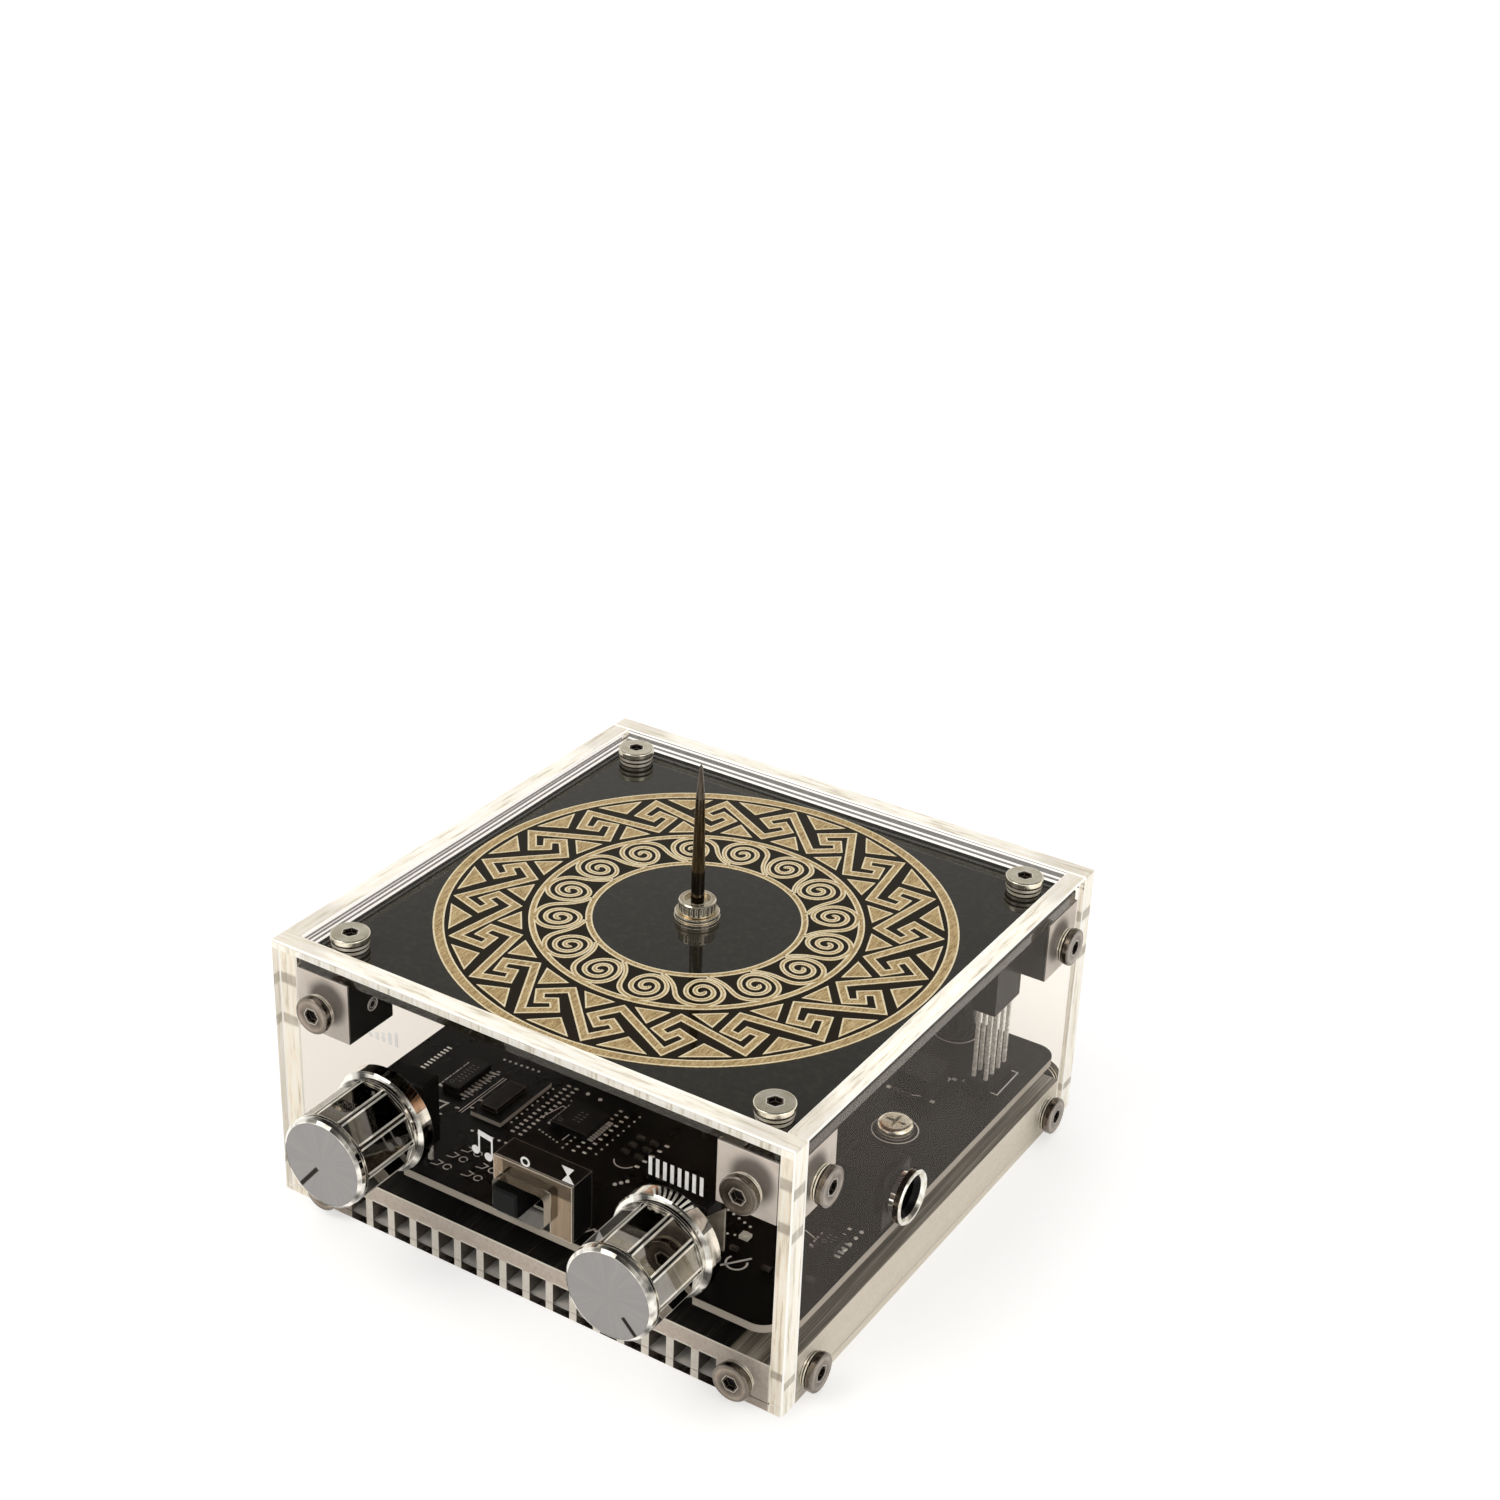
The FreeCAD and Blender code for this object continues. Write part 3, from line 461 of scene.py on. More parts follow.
def ringed_metal(name, upright, seat, height):
    """Stacked bright rings, with painted shade in the groove between them and next to the head and the seat.
    """
    made, tree, shader = surface(name, Metallic=0.45)
    where = place(tree)
    x, y, z = millimetres(tree, where)
    out = minus(tree, z if upright else either_of(tree, size_of(tree, x), size_of(tree, y)), seat)
    # painted shade in the groove and next to the head and the seat
    ends = either_of(tree, below(tree, out, 0.14), above(tree, out, height - 0.20))
    dark = either_of(tree, between(tree, out, 0.38 * height, 0.62 * height), ends)
    stain = noise(tree, where, 420.0)
    face = tones(tree, stain, (0.66, 0.58, 0.45), (0.98, 0.93, 0.82), 0.33, 0.67)
    feed(tree, shader,
         Base_Color=blend(tree, dark, face, (0.022, 0.017, 0.012)),
         Roughness=spread(tree, stain, 0.14, 0.28))
    return made


def switch_metal():
    """Bright frame with a painted dark reflection on its flat top and upper bar, and painted highlights on
    its edges.
    """
    made, tree, shader = surface("frame_metal")
    where = place(tree)
    x, z = millimetres(tree, where)[::2]
    stain = noise(tree, stretched(tree, where, (1.0, 0.3, 0.08)), 620.0, 2.0)
    painted_dark = (0.045, 0.034, 0.024)
    # painted dark reflection on the upper bar, and below on the flat top
    bar = times(tree, above(tree, z, BAR_BOTTOM), above(tree, x, BAR_LEFT))
    face = tones(tree, stain, (0.25, 0.195, 0.14), (0.36, 0.29, 0.215), 0.33, 0.67)
    face = blend(tree, times(tree, bar, 0.75), face, painted_dark)
    top = tones(tree, stain, (0.012, 0.009, 0.006), painted_dark, 0.33, 0.67)
    face = blend(tree, above(tree, towards(tree, 2), 0.7), face, top)
    highlit_metal(tree, shader, face, rim(tree, 0.36, 12.0), CREAM_HIGHLIGHT)
    feed(tree, shader, Roughness=spread(tree, stain, 0.08, 0.18))
    return made


def inlet_metal():
    """Bright sleeve with a dark girth and painted highlights on its edges; painted shade makes it black
    inside its bore and inside the case.
    """
    made, tree, shader = surface("inlet_metal", Specular_IOR_Level=0.1)
    where = place(tree)
    x, y, z = millimetres(tree, where)
    reach = distance(tree, minus(tree, y, INLET.y), minus(tree, z, INLET.z))
    # painted shade: black inside the bore and, below, inside the case
    bore_shade = times(tree, below(tree, reach, INLET_BORE + 0.75), below(tree, x, INLET_FACE - 0.5))
    bore_shade = either_of(tree, bore_shade, below(tree, x, CASE_HALF - 0.05))
    stain = noise(tree, where, 900.0, 4.0)
    face = tones(tree, stain, (0.62, 0.57, 0.47), (0.95, 0.93, 0.86))
    girth = times(tree, above(tree, reach, INLET_GIRTH), below(tree, x, INLET_FACE - 0.3))
    face = blend(tree, girth, face, (0.13, 0.11, 0.085))
    # painted highlight along the edges
    face = blend(tree, rim(tree, 0.2), face, (0.98, 0.96, 0.90))
    feed(tree, shader,
         Base_Color=blend(tree, bore_shade, face, (0.004, 0.004, 0.004)),
         Metallic=minus(tree, 1.0, bore_shade),
         Roughness=spread(tree, stain, 0.14, 0.30))
    return made


def corner_block():
    """Pale faces behind the panels; painted shade, near black on the faces towards the inside and soft round
    each screw; painted highlights on the edges.
    """
    made, tree, shader = surface("corner_block", IOR=1.5)
    where = place(tree)
    x, y, z = millimetres(tree, where)
    mottle = noise(tree, where, 180.0, 4.0)
    pale = tones(tree, mottle, (0.80, 0.74, 0.70), (0.92, 0.865, 0.825))
    # painted shade round each screw
    screw_shade = fade(tree, from_side_screw(tree, x, y, z, SIDE_SCREW_Z + 0.6), 3.0, 5.4, 1.0, 0.0)
    pale = blend(tree, times(tree, screw_shade, 0.8), pale, (0.10, 0.085, 0.075))
    # painted shade: near black on the faces towards the inside
    black = tones(tree, mottle, (0.006, 0.006, 0.005), (0.014, 0.013, 0.011))
    outward = either_of(tree, at_face(tree, y, INNER), at_face(tree, x, INNER))
    # painted highlight along the edges, weaker on the faces towards the inside
    edge = times(tree, rim(tree, 0.22), spread(tree, outward, 0.55, 1.0))
    feed(tree, shader,
         Base_Color=blend(tree, edge, blend(tree, outward, black, pale), (0.88, 0.84, 0.77)),
         Roughness=spread(tree, mottle, 0.34, 0.52))
    bump(tree, shader, noise(tree, where, 1500.0, 2.0), 0.04, 0.4)
    return made


def needle_steel():
    """Dark drawn steel with streaks along it."""
    made, tree, shader = surface("needle_steel", Metallic=1.0)
    drawn = noise(tree, stretched(tree, place(tree), (1.0, 1.0, 0.05)), 2200.0, 2.0)
    feed(tree, shader,
         Base_Color=tones(tree, drawn, (0.035, 0.027, 0.021), (0.15, 0.12, 0.09), 0.35, 0.70),
         Roughness=spread(tree, drawn, 0.10, 0.20))
    return made


def heatsink():
    """Black brushed top; the bare cut faces have painted light, paler on the sides and fins than on the band
    above the gaps, and painted highlights on the top edges, the sides' foot and the gaps' tops; the gaps are
    dark inside.
    """
    made, tree, shader = surface("heatsink", IOR=1.5)
    where = place(tree)
    x, y, z = millimetres(tree, where)
    across = size_of(tree, x)
    side = at_face(tree, x, SINK_HALF)
    end = at_face(tree, y, SINK_HALF)
    outside = either_of(tree, side, end)
    streaks = noise(tree, stretched(tree, where, (60.0, 1.5, 1.0)), 45.0, 4.0, 0.7)
    along = noise(tree, stretched(tree, where, (40.0, 0.6, 1.0)), 40.0, 4.0, 0.7)
    speckle = noise(tree, where, 1400.0)
    black = ramp(tree, streaks, [(0.35, (0.003, 0.003, 0.003)), (0.58, (0.014, 0.013, 0.012)),
                                 (0.78, (0.16, 0.145, 0.125))])
    brushed = ramp(tree, along, [(0.30, (0.05, 0.044, 0.037)), (0.50, (0.24, 0.215, 0.18)),
                                 (0.72, (0.62, 0.57, 0.49))])
    black = blend(tree, above(tree, across, SINK_HALF - SINK_BORDER), black, brushed)
    front_band = tones(tree, speckle, (0.70, 0.63, 0.575), (0.80, 0.735, 0.68))
    # painted light: the sides and the fins paler than the band above the gaps on the ends
    lit_side_band = tones(tree, speckle, (0.95, 0.90, 0.80), (1.0, 0.97, 0.89))
    lit_fins = tones(tree, speckle, (0.95, 0.92, 0.86), (1.0, 0.99, 0.95))
    comb = times(tree, times(tree, end, below(tree, z, WINDOW_TOP)), below(tree, across, -GAP_FIRST))
    phase = maths(tree, "FLOORED_MODULO", minus(tree, x, GAP_FIRST), GAP_PITCH)
    # painted highlight along the tops of the gaps
    window_highlight = times(tree, times(tree, end, below(tree, z, WINDOW_TOP + 0.35)),
                  times(tree, below(tree, phase, GAP_WIDTH + 0.1), below(tree, across, 0.2 - GAP_FIRST)))
    cut = blend(tree, side, front_band, lit_side_band)
    cut = blend(tree, either_of(tree, comb, window_highlight), cut, lit_fins)
    # painted highlights along the foot of the sides and the top edge of the outer faces
    low = times(tree, side, below(tree, z, 0.5))
    ledge_highlight = times(tree, outside, above(tree, z, SINK_TOP - 0.35))
    cut = blend(tree, either_of(tree, low, ledge_highlight), cut, (0.94, 0.91, 0.84))
    shade = tones(tree, speckle, (0.085, 0.072, 0.060), (0.14, 0.122, 0.105))
    top = times(tree, above(tree, z, SINK_TOP - 0.05), minus(tree, 1.0, outside))
    feed(tree, shader,
         Base_Color=blend(tree, top, blend(tree, outside, shade, cut), black),
         Roughness=spread(tree, streaks, 0.32, 0.50))
    bump(tree, shader, streaks, 0.06, 0.5)
    return made


def board_mask():
    """Black solder mask over woven laminate; the cut edge is paler."""
    made, tree, shader = surface("board_black", IOR=1.5, Specular_IOR_Level=0.07)
    where = place(tree)
    x, y = millimetres(tree, where)[:2]
    side = either_of(tree, at_face(tree, x, BOARD_HALF, 0.03), at_face(tree, y, BOARD_HALF, 0.03))
    cut = either_of(tree, side, below(tree, size_of(tree, towards(tree, 2)), 0.5))
    threads = [add(tree, "TexWave", {"Vector": where, "Scale": 700.0}, bands_direction=way).outputs["Fac"]
               for way in "XY"]
    cloud = noise(tree, where, 120.0)
    mask = tones(tree, cloud, (0.0035, 0.0033, 0.003), (0.0063, 0.00594, 0.0054), 0.35, 0.70)
    feed(tree, shader,
         Base_Color=blend(tree, cut, mask, (0.46, 0.43, 0.39)),
         Roughness=spread(tree, cloud, 0.22, 0.36))
    bump(tree, shader, times(tree, *threads), 0.01, 0.1)
    return made


def chrome():
    """Mirror plating with painted dark reflection on the ribs, darker on the left knob, painted bands of
    reflection on the plain rings, painted shade in the grooves, and painted highlights along every groove
    and edge.
    """
    made, tree, shader = surface("chrome")
    where = place(tree)
    x, y, z = millimetres(tree, where)
    right = above(tree, x, 0.0)
    dx = minus(tree, x, spread(tree, right, LEFT_KNOB.x, RIGHT_KNOB.x))
    dz = minus(tree, z, LEFT_KNOB.z)
    step = 2.0 * math.pi / RIBS
    angle = maths(tree, "ADD", maths(tree, "ARCTAN2", dz, dx), 0.5 * step)
    phase = minus(tree, maths(tree, "FLOORED_MODULO", angle, step), 0.5 * step)
    off = times(tree, size_of(tree, phase), distance(tree, dx, dz))
    ribbed = between(tree, y, *RIB_ENDS)
    lines = times(tree, ribbed, below(tree, off, GROOVE_HALF + LINE_WIDTH))
    groove = times(tree, ribbed, below(tree, off, GROOVE_HALF))
    smear = noise(tree, where, 150.0)
    # painted dark reflection on the ribs, darker still on the left knob
    dark_reflection = tones(tree, smear, (0.17, 0.16, 0.14), (0.33, 0.31, 0.275), 0.30, 0.70)
    dark_reflection = blend(tree, spread(tree, right, 0.55, 0.0), dark_reflection, (0.03, 0.028, 0.025))
    # painted reflection: light and dark bands round the plain rings
    reflection_spot = add(tree, "CombineXYZ", {0: maths(tree, "SINE", angle), 1: maths(tree, "COSINE", angle),
                                   2: times(tree, y, 0.16)}).outputs[0]
    bright = ramp(tree, noise(tree, reflection_spot, 1.9, 2.0), [
        (0.40, (0.07, 0.066, 0.06)), (0.50, (0.42, 0.40, 0.36)), (0.60, (0.88, 0.85, 0.78))])
    # painted highlights beside the grooves and along the edges
    broken = spread(tree, noise(tree, stretched(tree, where, (1.0, 0.12, 1.0)), 420.0, 2.0), 0.25, 1.35)
    lit = times(tree, lines, maths(tree, "MINIMUM", broken, 1.0))
    highlit = either_of(tree, rim(tree, 0.09, 8.0), lit)
    face = blend(tree, highlit, blend(tree, ribbed, bright, dark_reflection), (0.96, 0.92, 0.83))
    # painted shade in the grooves
    feed(tree, shader,
         Base_Color=blend(tree, groove, face, (0.02, 0.018, 0.015)),
         Metallic=spread(tree, highlit, 1.0, 0.3),
         Roughness=spread(tree, smear, 0.02, 0.06))
    return made


def spun_satin(name, centre):
    """Turned face with a painted radial sheen, a fan of faint streaks from its centre; centre is the axis in
    millimetres.
    """
    made, tree, shader = surface(name, Metallic=1.0, Anisotropic=0.5)
    x, z = millimetres(tree, place(tree))[::2]
    dx = minus(tree, x, centre.x)
    dz = minus(tree, z, centre.z)
    reach = distance(tree, dx, dz)
    polar = add(tree, "CombineXYZ", {0: times(tree, maths(tree, "ARCTAN2", dz, dx), 2.0),
                                     1: times(tree, reach, 0.012)}).outputs[0]
    sheen_fan = noise(tree, polar, 3.2, 4.0, 0.6)
    rings = noise(tree, add(tree, "CombineXYZ", {0: reach}).outputs[0], 9.0)
    feed(tree, shader,
         Base_Color=tones(tree, sheen_fan, (0.27, 0.26, 0.255), (0.325, 0.31, 0.30), 0.25, 0.75),
         Roughness=spread(tree, sheen_fan, 0.34, 0.42))
    bump(tree, shader, rings, 0.03, 0.35)
    return made


def plain_metal(name, dark, light, rough, metal=1.0):
    """Bare or plated metal with a fine grain."""
    made, tree, shader = surface(name, Metallic=metal)
    grain = noise(tree, place(tree), 500.0, 4.0)
    feed(tree, shader,
         Base_Color=tones(tree, grain, dark, light),
         Roughness=spread(tree, grain, rough - 0.08, rough + 0.10))
    bump(tree, shader, grain, 0.03, 0.3)
    return made


def moulded(name, dark, light, rough, edge=None):
    """Moulded or painted surface with a fine texture and, if given, painted highlights on its edges."""
    made, tree, shader = surface(name, IOR=1.5, Specular_IOR_Level=0.12)
    where = place(tree)
    grain = noise(tree, where, 700.0, 4.0)
    face = tones(tree, grain, dark, light)
    feed(tree, shader,
         Base_Color=blend(tree, rim(tree, 0.2), face, edge) if edge else face,
         Roughness=spread(tree, grain, rough - 0.08, rough + 0.10))
    bump(tree, shader, noise(tree, where, 2800.0, 2.0), 0.04, 0.35)
    return made


def soldered():
    """Tin solder and tinned legs: pale and only faintly metallic."""
    made, tree, shader = surface("tinned", Metallic=0.15, IOR=1.5)
    grain = noise(tree, place(tree), 1500.0)
    feed(tree, shader,
         Base_Color=tones(tree, grain, (0.66, 0.645, 0.61), (0.94, 0.93, 0.90)),
         Roughness=spread(tree, grain, 0.18, 0.34))
    bump(tree, shader, grain, 0.03, 0.4)
    return made


def capacitor_can():
    """Black sleeve with a grey stripe down one side and a bare aluminium top."""
    made, tree, shader = surface("capacitor_can", IOR=1.5, Specular_IOR_Level=0.25)
    where = place(tree)
    up = towards(tree, 2)
    grain = noise(tree, where, 1200.0)
    lid = times(tree, above(tree, up, 0.85), above(tree, millimetres(tree, where)[2], LIDS_ABOVE))
    stripe = times(tree, below(tree, towards(tree, 0), -0.93), below(tree, size_of(tree, up), 0.4))
    sleeve = tones(tree, grain, (0.006, 0.006, 0.009), (0.015, 0.015, 0.020))
    metal = tones(tree, grain, (0.52, 0.51, 0.49), (0.66, 0.65, 0.63))
    feed(tree, shader,
         Base_Color=blend(tree, lid, blend(tree, stripe, sleeve, (0.32, 0.32, 0.34)), metal),
         Metallic=lid,
         Roughness=spread(tree, grain, 0.22, 0.34))
    return made


# The edge colours given to plated() and moulded() here and below are painted highlights along the edges.
MATERIALS = {
    "black_plate": black_plate(),
    "gold_print": gold_print("gold_print", (0.28, 0.175, 0.065), (0.56, 0.39, 0.175), (0.86, 0.66, 0.36),
                             4200.0, 0.35),
    "nickel": plated("nickel", (0.17, 0.135, 0.105), (0.40, 0.34, 0.275), CREAM_HIGHLIGHT, 0.16, 0.28, 0.30),
    "corner_block": corner_block(),
    "needle_steel": needle_steel(),
    "heatsink_black": heatsink(),
    "board_black": board_mask(),
    "knob_chrome": chrome(),
    "bright_metal": plain_metal("bright_metal", (0.20, 0.185, 0.155), (0.34, 0.32, 0.27), 0.34, metal=0.4),
    "tinned": soldered(),
    "black_plastic": moulded("black_plastic", (0.004, 0.004, 0.004), (0.010, 0.0095, 0.009), 0.38,
                             edge=(0.035, 0.033, 0.03)),
    "copper": plain_metal("copper", (0.42, 0.20, 0.10), (0.66, 0.36, 0.20), 0.30),
    "capacitor_sleeve": capacitor_can(),
    "small_part": moulded("small_part", (0.03, 0.026, 0.022), (0.09, 0.078, 0.066), 0.45),
    "lamp": moulded("lamp", (0.62, 0.60, 0.55), (0.80, 0.78, 0.72), 0.25),
    "small_part_mark": moulded("small_part_mark", (0.16, 0.155, 0.15), (0.30, 0.29, 0.28), 0.5),
    "white_print": moulded("white_print", (0.76, 0.75, 0.73), (0.92, 0.91, 0.89), 0.45),
}
BORDER_GOLD = gold_print("border_gold", (0.80, 0.65, 0.38), (0.92, 0.79, 0.52), (0.98, 0.90, 0.68),
                         3500.0, 0.15)
# Black parts, and the painted shade in the screw sockets
BLACK_AND_SOCKET_SHADE = moulded("black_and_socket_shade", (0.004, 0.003, 0.003), (0.012, 0.009, 0.008), 0.35,
                       edge=(0.30, 0.24, 0.18))
BODY_BLACK = moulded("body_black", (0.003, 0.003, 0.003), (0.008, 0.0075, 0.007), 0.3,
                     edge=(0.55, 0.51, 0.45))
LEVER_BLACK = moulded("lever_black", (0.0015, 0.0015, 0.0015), (0.004, 0.004, 0.004), 0.5)
PLATE_SCREW_METAL = plated("plate_screw_metal", (0.74, 0.67, 0.52), (0.97, 0.92, 0.78), (1.0, 0.98, 0.92),
                           0.18, 0.30, 0.34)
COLLAR_METAL = plated("collar_metal", (0.52, 0.43, 0.30), (0.78, 0.70, 0.55), (0.98, 0.94, 0.82), 0.10, 0.22)
OWN_MATERIALS = {
    "front_panel": clear_acrylic("clear_front", 1, CASE_HALF, CLEAR_TINT, lip=LIP, slot=True),
    "rear_panel": clear_acrylic("clear_rear", 1, CASE_HALF, CLEAR_TINT, dark_lines=True),
    "left_panel": clear_acrylic("clear_left", 0, INNER, LEFT_SHADED_TINT, SIDE_PAINTED_GLOW, dark_lines=True),
    "right_panel": clear_acrylic("clear_right", 0, INNER, CLEAR_TINT, SIDE_PAINTED_GLOW),
    "left_knob_cap": spun_satin("satin_left", LEFT_KNOB),
    "right_knob_cap": spun_satin("satin_right", RIGHT_KNOB),
    "switch_lever": LEVER_BLACK,
    "switch_body": BODY_BLACK,
    "switch_frame": switch_metal(),
    "needle_flange": COLLAR_METAL,
    "needle_collar": COLLAR_METAL,
    "inlet_sleeve": inlet_metal(),
    "plate_screws": PLATE_SCREW_METAL,
    "plate_screw_collars": ringed_metal("plate_rings", True, PLATE_TOP, PLATE_COLLAR_T),
    "side_screw_collars": ringed_metal("side_rings", False, CASE_HALF, COLLAR_T),
    "board_screws": PLATE_SCREW_METAL,
    "side_screws": screw_heads(),
    "wireless_shield": BLACK_AND_SOCKET_SHADE,
}


def dress_nodes():
    """Every CAD node gets its own material or that of its slot."""
    for part in frame["record"]["subparts"]:
        made = OWN_MATERIALS.get(part["node"]) or MATERIALS[part["material_slot"]]
        for slot in NODES[part["node"]].material_slots:
            slot.material = made


# -------------------------------- mesh helpers, in millimetres
def finish_piece(name, shape, made, body="case"):
    """A finished mesh becomes a piece that rides on a CAD body."""
    bmesh.ops.scale(shape, vec=(MM, MM, MM), verts=shape.verts)
    bmesh.ops.recalc_face_normals(shape, faces=shape.faces)
    mesh = bpy.data.meshes.new(name)
    shape.to_mesh(mesh)
    shape.free()
    mesh.materials.append(made)
    piece = bpy.data.objects.new(name, mesh)
    bpy.context.scene.collection.objects.link(piece)
    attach(piece, body)
    return piece


def loft(shape, rings, closed_ends=True):
    """Skin over rings of equally many points."""
    rows = [[shape.verts.new(point) for point in ring] for ring in rings]
    count = len(rows[0])
    for low, high in zip(rows, rows[1:]):
        for i in range(count):
            shape.faces.new((low[i], low[(i + 1) % count], high[(i + 1) % count], high[i]))
    if closed_ends:
        shape.faces.new(list(reversed(rows[0])))
        shape.faces.new(rows[-1])


def weld(shape):
    """Joins the first and last ring of a closed loft."""
    bmesh.ops.remove_doubles(shape, verts=shape.verts, dist=WELD)


def rounded_ring(middle, right, up, radius, sides):
    angles = [2.0 * math.pi * i / sides for i in range(sides)]
    return [middle + right * (radius * math.cos(a)) + up * (radius * math.sin(a)) for a in angles]


def brick(shape, x, y, base, long_x, long_y, height, ease):
    """Low block with eased top edges."""
    def level(grow, z):
        half_x = long_x / 2 + grow
        half_y = long_y / 2 + grow
        return [Vector((x + half_x * i, y + half_y * j, z)) for i, j in CORNERS]
    loft(shape, [level(0.0, base), level(0.0, base + height - ease), level(-ease, base + height)])


def bead(shape, x, y, base, radius, height):
    """Solder bead: a low dome."""
    rings = []
    for share, rise in ((1.0, 0.0), (0.88, 0.55), (0.52, 0.90), (0.12, 1.0)):
        rings.append(rounded_ring(Vector((x, y, base + height * rise)), EAST, NORTH, radius * share, 10))
    loft(shape, rings)


def line(shape, points, width, base, height, closed=False):
    """Flat printed line along points, with mitred corners."""
    flat = [Vector(p) for p in points]
    count = len(flat)
    left = []
    right = []
    for i in range(count):
        before = flat[i] - flat[i - 1] if closed or i > 0 else flat[1] - flat[0]
        after = flat[(i + 1) % count] - flat[i] if closed or i < count - 1 else before
        aside = before.orthogonal().normalized()
        normal = (aside + after.orthogonal().normalized()).normalized()
        reach = width / 2 / max(0.4, normal.dot(aside))
        left.append(flat[i] + normal * reach)
        right.append(flat[i] - normal * reach)
    rings = []
    for a, b in zip(left, right):
        rings.append([Vector((a.x, a.y, base)), Vector((b.x, b.y, base)),
                      Vector((b.x, b.y, base + height)), Vector((a.x, a.y, base + height))])
    if closed:
        rings.append(rings[0])
    loft(shape, rings, closed_ends=not closed)
    if closed:
        weld(shape)


def arc_points(x, y, radius, start, end, count):
    turns = [math.radians(start + (end - start) * i / (count - 1)) for i in range(count)]
    return [(x + radius * math.cos(a), y + radius * math.sin(a)) for a in turns]


def torus(shape, middle, right, up, radius, thick, around=28, sides=8):
    out = right.cross(up)
    rings = []
    for i in range(around + 1):
        a = 2.0 * math.pi * i / around
        spoke = right * math.cos(a) + up * math.sin(a)
        rings.append(rounded_ring(middle + spoke * radius, spoke, out, thick, sides))
    loft(shape, rings, closed_ends=False)
    weld(shape)


def hex_cup(shape, face, out):
    """Painted shade lining a hex socket whose mouth is at face; out is the way it opens."""
    up = UP if abs(out.z) < 0.5 else NORTH
    right = up.cross(out)
    steps = ((SOCKET_R - 0.02, -SOCKET_DEPTH + 0.01), (SOCKET_R - 0.02, -0.02), (SOCKET_R - 0.24, -0.02),
             (SOCKET_R - 0.40, -SOCKET_DEPTH + 0.16))
    loft(shape, [rounded_ring(face + out * depth, right, up, radius, 6) for radius, depth in steps])


# -------------------------------- pieces
def build_socket_shades():
    """Painted shade: a dark lining in the socket of every case screw."""
    shape = bmesh.new()
    for side in (-1, 1):
        for at in (-SCREW_AT, SCREW_AT):
            for z in (BASE_SCREW_Z, SIDE_SCREW_Z):
                hex_cup(shape, Vector((at + SCREW_X_SHIFT, side * HEAD_FACE, z)), side * NORTH)
                hex_cup(shape, Vector((side * HEAD_FACE, at + SCREW_Y_SHIFT, z)), side * EAST)
            hex_cup(shape, Vector((side * SCREW_AT, at, PLATE_HEAD_FACE)), UP)
    finish_piece("socket_shades", shape, BLACK_AND_SOCKET_SHADE)


def build_gold_borders():
    """Lighter outline round every printed gold shape."""
    joined = bmesh.new()
    for node in ("key_ring_outer", "key_band", "key_fillers", "scroll_band"):
        shape = bmesh.new()
        shape.from_mesh(NODES[node].data)
        bmesh.ops.remove_doubles(shape, verts=shape.verts, dist=CAD_WELD * MM)
        lower = [f for f in shape.faces if f.normal.z < 0.9]
        bmesh.ops.delete(shape, geom=lower, context="FACES")
        keep = set(bmesh.ops.inset_region(shape, faces=shape.faces, thickness=BORDER * MM,
                                          use_even_offset=True, use_boundary=True)["faces"])
        bmesh.ops.delete(shape, geom=[f for f in shape.faces if f not in keep], context="FACES")
        bmesh.ops.translate(shape, vec=(0.0, 0.0, BORDER_LIFT * MM), verts=shape.verts)
        part = bpy.data.meshes.new(node + "_part")
        shape.to_mesh(part)
        shape.free()
        joined.from_mesh(part)
        bpy.data.meshes.remove(part)
    bmesh.ops.scale(joined, vec=(1 / MM, 1 / MM, 1 / MM), verts=joined.verts)
    finish_piece("gold_borders", joined, BORDER_GOLD)


